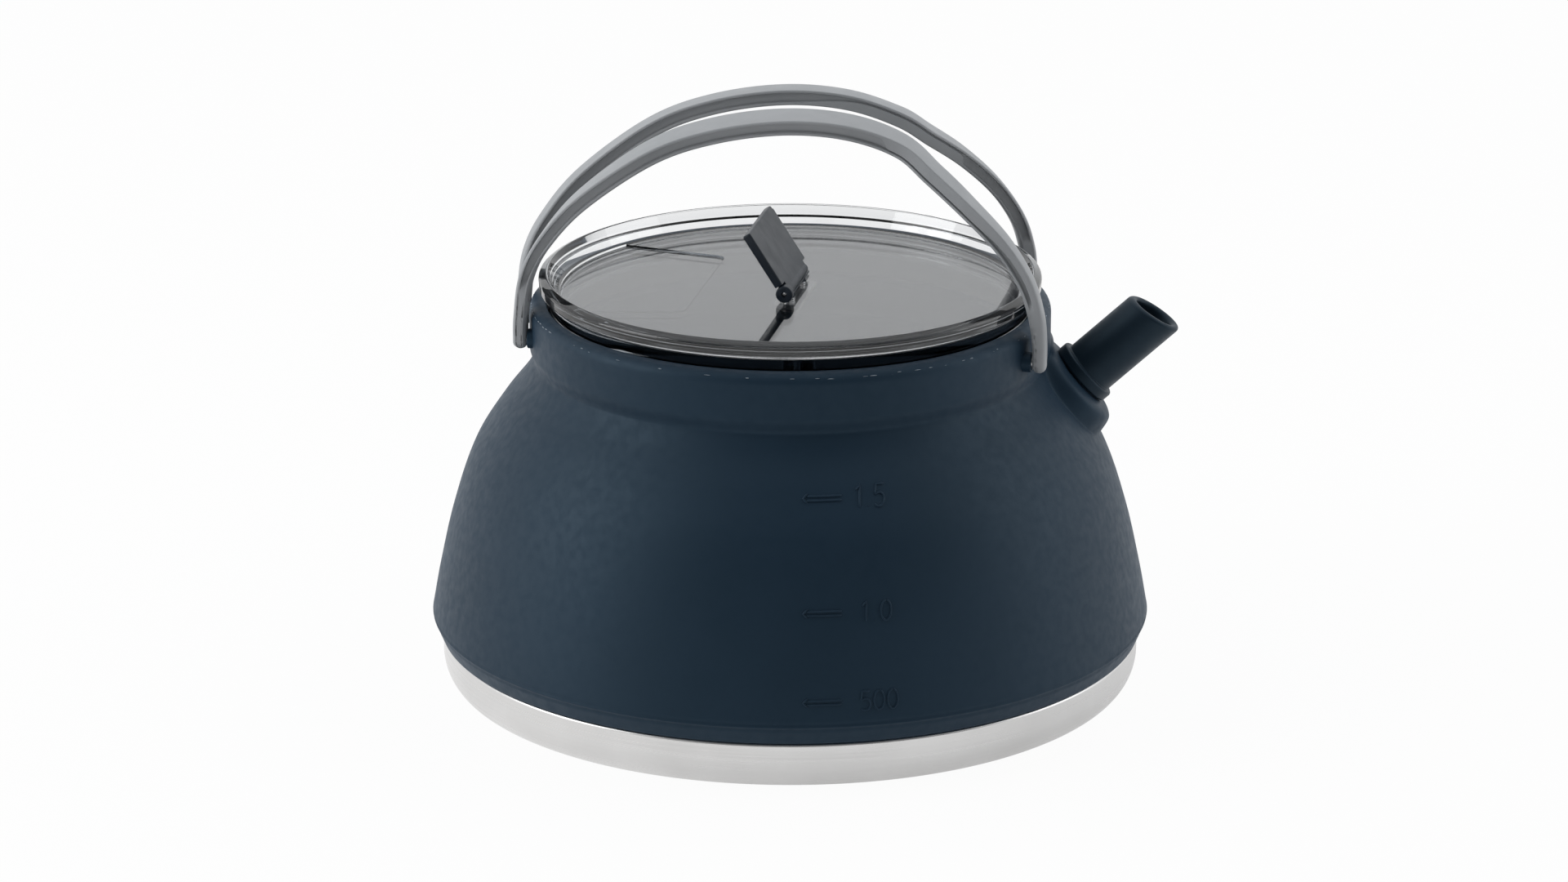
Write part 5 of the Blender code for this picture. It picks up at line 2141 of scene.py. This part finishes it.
@dataclass(frozen=True)
class SoftBox:
    """Soft lamp with a rectangular face."""

    name: str
    spot: Point3
    size: Point2
    power: float

    def build(self, aim: Point3) -> None:
        """Make the lamp.

        Args:
            aim: The point that it faces.
        """
        data = bpy.data.lights.new(self.name, "AREA")
        data.shape = "RECTANGLE"
        data.size, data.size_y = self.size
        data.energy = self.power
        lamp = bpy.data.objects.new(self.name, data)
        lamp.location = self.spot
        lamp.rotation_euler = (Vector(aim) - Vector(self.spot)).to_track_quat("-Z", "Y").to_euler()
        bpy.context.scene.collection.objects.link(lamp)


@dataclass
class Studio:
    """Camera at the photograph's angle, soft lamps and a plain white floor."""

    elevation: float = 18.07
    distance: float = 1.510
    lens: float = 137.02
    sensor: float = 36.0
    target: Point3 = (-0.00155, 0.0, 0.06057)
    middle: Point3 = (0.0, 0.0, 0.06)
    lamps: tuple[SoftBox, ...] = (
        SoftBox("left_box", (-1.05, -0.25, 0.50), (0.7, 0.9), 5.5),
        SoftBox("right_box", (1.15, 0.05, 0.45), (0.6, 0.9), 2.0),
        SoftBox("top_box", (0.0, 0.15, 1.30), (1.1, 0.9), 0.5),
    )
    room_tint: Colour = (0.97, 0.985, 1.0, 1.0)
    room_run: Point2 = (-0.75, 0.10)
    room_levels: Point2 = (0.16, 1.0)
    floor_rings: tuple[float, ...] = (0.0, 0.4, 1.5, 6.0)
    floor_glow: float = 0.95
    # The floor as polished pieces mirror it carries painted shade beside the kettle and painted light toward
    # the left.
    mirror_radii: Point2 = (0.088, 0.140)
    painted_shade_levels: Point2 = (0.62, 1.0)
    mirror_run: Point2 = (-0.10, 0.04)
    painted_light_sides: Point2 = (1.7, 0.92)

    def build_camera(self) -> None:
        """Make the camera."""
        data = bpy.data.cameras.new("camera")
        data.lens = self.lens
        data.sensor_width = self.sensor
        camera = bpy.data.objects.new("camera", data)
        angle = math.radians(self.elevation)
        back = Vector((0.0, -math.cos(angle), math.sin(angle)))
        camera.location = Vector(self.target) + back * self.distance
        camera.rotation_euler = (math.radians(90.0 - self.elevation), 0.0, 0.0)
        bpy.context.scene.collection.objects.link(camera)
        bpy.context.scene.camera = camera

    def build_world(self) -> None:
        """White surround, dimmer toward the front, so that dark matt pieces keep their depth."""
        world = bpy.data.worlds.new("white_room")
        bpy.context.scene.world = world
        world.use_nodes = True
        world.node_tree.nodes.clear()
        sheet = NodeTools(world.node_tree)
        where = sheet.add("ShaderNodeTexCoord")
        split = sheet.add("ShaderNodeSeparateXYZ")
        sheet.join(where.outputs["Generated"], split.inputs["Vector"])
        room = sheet.add("ShaderNodeBackground", Color=self.room_tint)
        fall = sheet.map_range(split.outputs["Y"], self.room_run, self.room_levels, smooth=True)
        sheet.join(fall, room.inputs["Strength"])
        plain = sheet.add("ShaderNodeBackground", Color=(1.0, 1.0, 1.0, 1.0))
        path = sheet.add("ShaderNodeLightPath")
        see = sheet.combine("MAXIMUM", path.outputs["Is Camera Ray"], path.outputs["Is Transmission Ray"])
        mixed = sheet.mix_shaders(see, room.outputs["Background"], plain.outputs["Background"])
        output = sheet.add("ShaderNodeOutputWorld")
        sheet.join(mixed, output.inputs["Surface"])

    def painted_mirror_glow(self, sheet: NodeSheet, path: bpy.types.Node) -> bpy.types.NodeSocket:
        """Glow of the floor as polished pieces mirror it: a painted shadow dims it beside the kettle, and
        painted light brightens it toward the left, white farther out.

        Args:
            sheet: The floor's node sheet.
            path: Its light path node.

        Returns:
            The level, which is 0 for rays that aren't mirrored.
        """
        where = sheet.add("ShaderNodeTexCoord")
        length = sheet.add("ShaderNodeVectorMath", operation="LENGTH")
        split = sheet.add("ShaderNodeSeparateXYZ")
        sheet.join(where.outputs["Object"], length.inputs[0])
        sheet.join(where.outputs["Object"], split.inputs["Vector"])
        # Painted shadow dims the mirrored floor beside the kettle; painted light brightens it toward the
        # left.
        outward = sheet.map_range(length.outputs["Value"], self.mirror_radii, self.painted_shade_levels, smooth=True)
        across = sheet.map_range(split.outputs["X"], self.mirror_run, self.painted_light_sides, smooth=True)
        both = sheet.combine("MULTIPLY", outward, across)
        return sheet.combine("MULTIPLY", path.outputs["Is Glossy Ray"], both)

    def build_floor(self) -> None:
        """Wide pale floor that keeps a faint shadow and reads as white to the camera."""
        floor = lathe("floor", [(radius, 0.0) for radius in self.floor_rings], 96)
        sheet = NodeSheet("white_floor")
        grain = sheet.noise(90.0, 3.0)
        shades = [(0.3, (0.80, 0.80, 0.80, 1.0)), (0.7, (0.82, 0.82, 0.82, 1.0))]
        tone = sheet.ramp(grain.outputs["Fac"], shades)
        sheet.join(tone, sheet.shader.inputs["Base Color"])
        sheet.set("Roughness", 0.9)
        sheet.set("Specular IOR Level", 0.0)
        path = sheet.add("ShaderNodeLightPath")
        # Mirrored rays see the floor with painted shade beside the kettle and painted light toward the left.
        level = sheet.combine("MAXIMUM", path.outputs["Is Camera Ray"], self.painted_mirror_glow(sheet, path))
        level = sheet.combine("MAXIMUM", level, path.outputs["Is Transmission Ray"])
        level = sheet.combine("MULTIPLY", level, self.floor_glow)
        glow = sheet.add("ShaderNodeEmission", Color=(1.0, 1.0, 1.0, 1.0), Strength=1.0)
        mixed = sheet.mix_shaders(level, sheet.shader.outputs["BSDF"], glow.outputs["Emission"])
        sheet.join(mixed, sheet.tree.nodes["Material Output"].inputs["Surface"])
        floor.data.materials.append(sheet.material)

    def build(self) -> None:
        """Make the whole studio."""
        bpy.context.scene.view_settings.view_transform = "Standard"
        self.build_camera()
        for lamp in self.lamps:
            lamp.build(self.middle)
        self.build_world()
        self.build_floor()


def main() -> None:
    """Build the scene piece by piece."""
    logging.basicConfig(level=logging.INFO, format="%(name)s: %(message)s")
    Studio().build()
    finishes = Finishes.make()
    body, spout, lid = SiliconeBody(), Spout(), Lid()
    SteelPan().build(finishes)
    body.build(finishes, spout)
    # The pale specks round the neck's edge are a painted highlight.
    PaintedLipHighlight().build(finishes, body)
    FillMarks().build(finishes, body)
    spout.build(finishes)
    NeckRing().build(finishes)
    lid.build(finishes)
    Knob().build(finishes, lid)
    for side in Side:
        Bail(side).build(finishes)


if __name__ == "__main__":
    main()
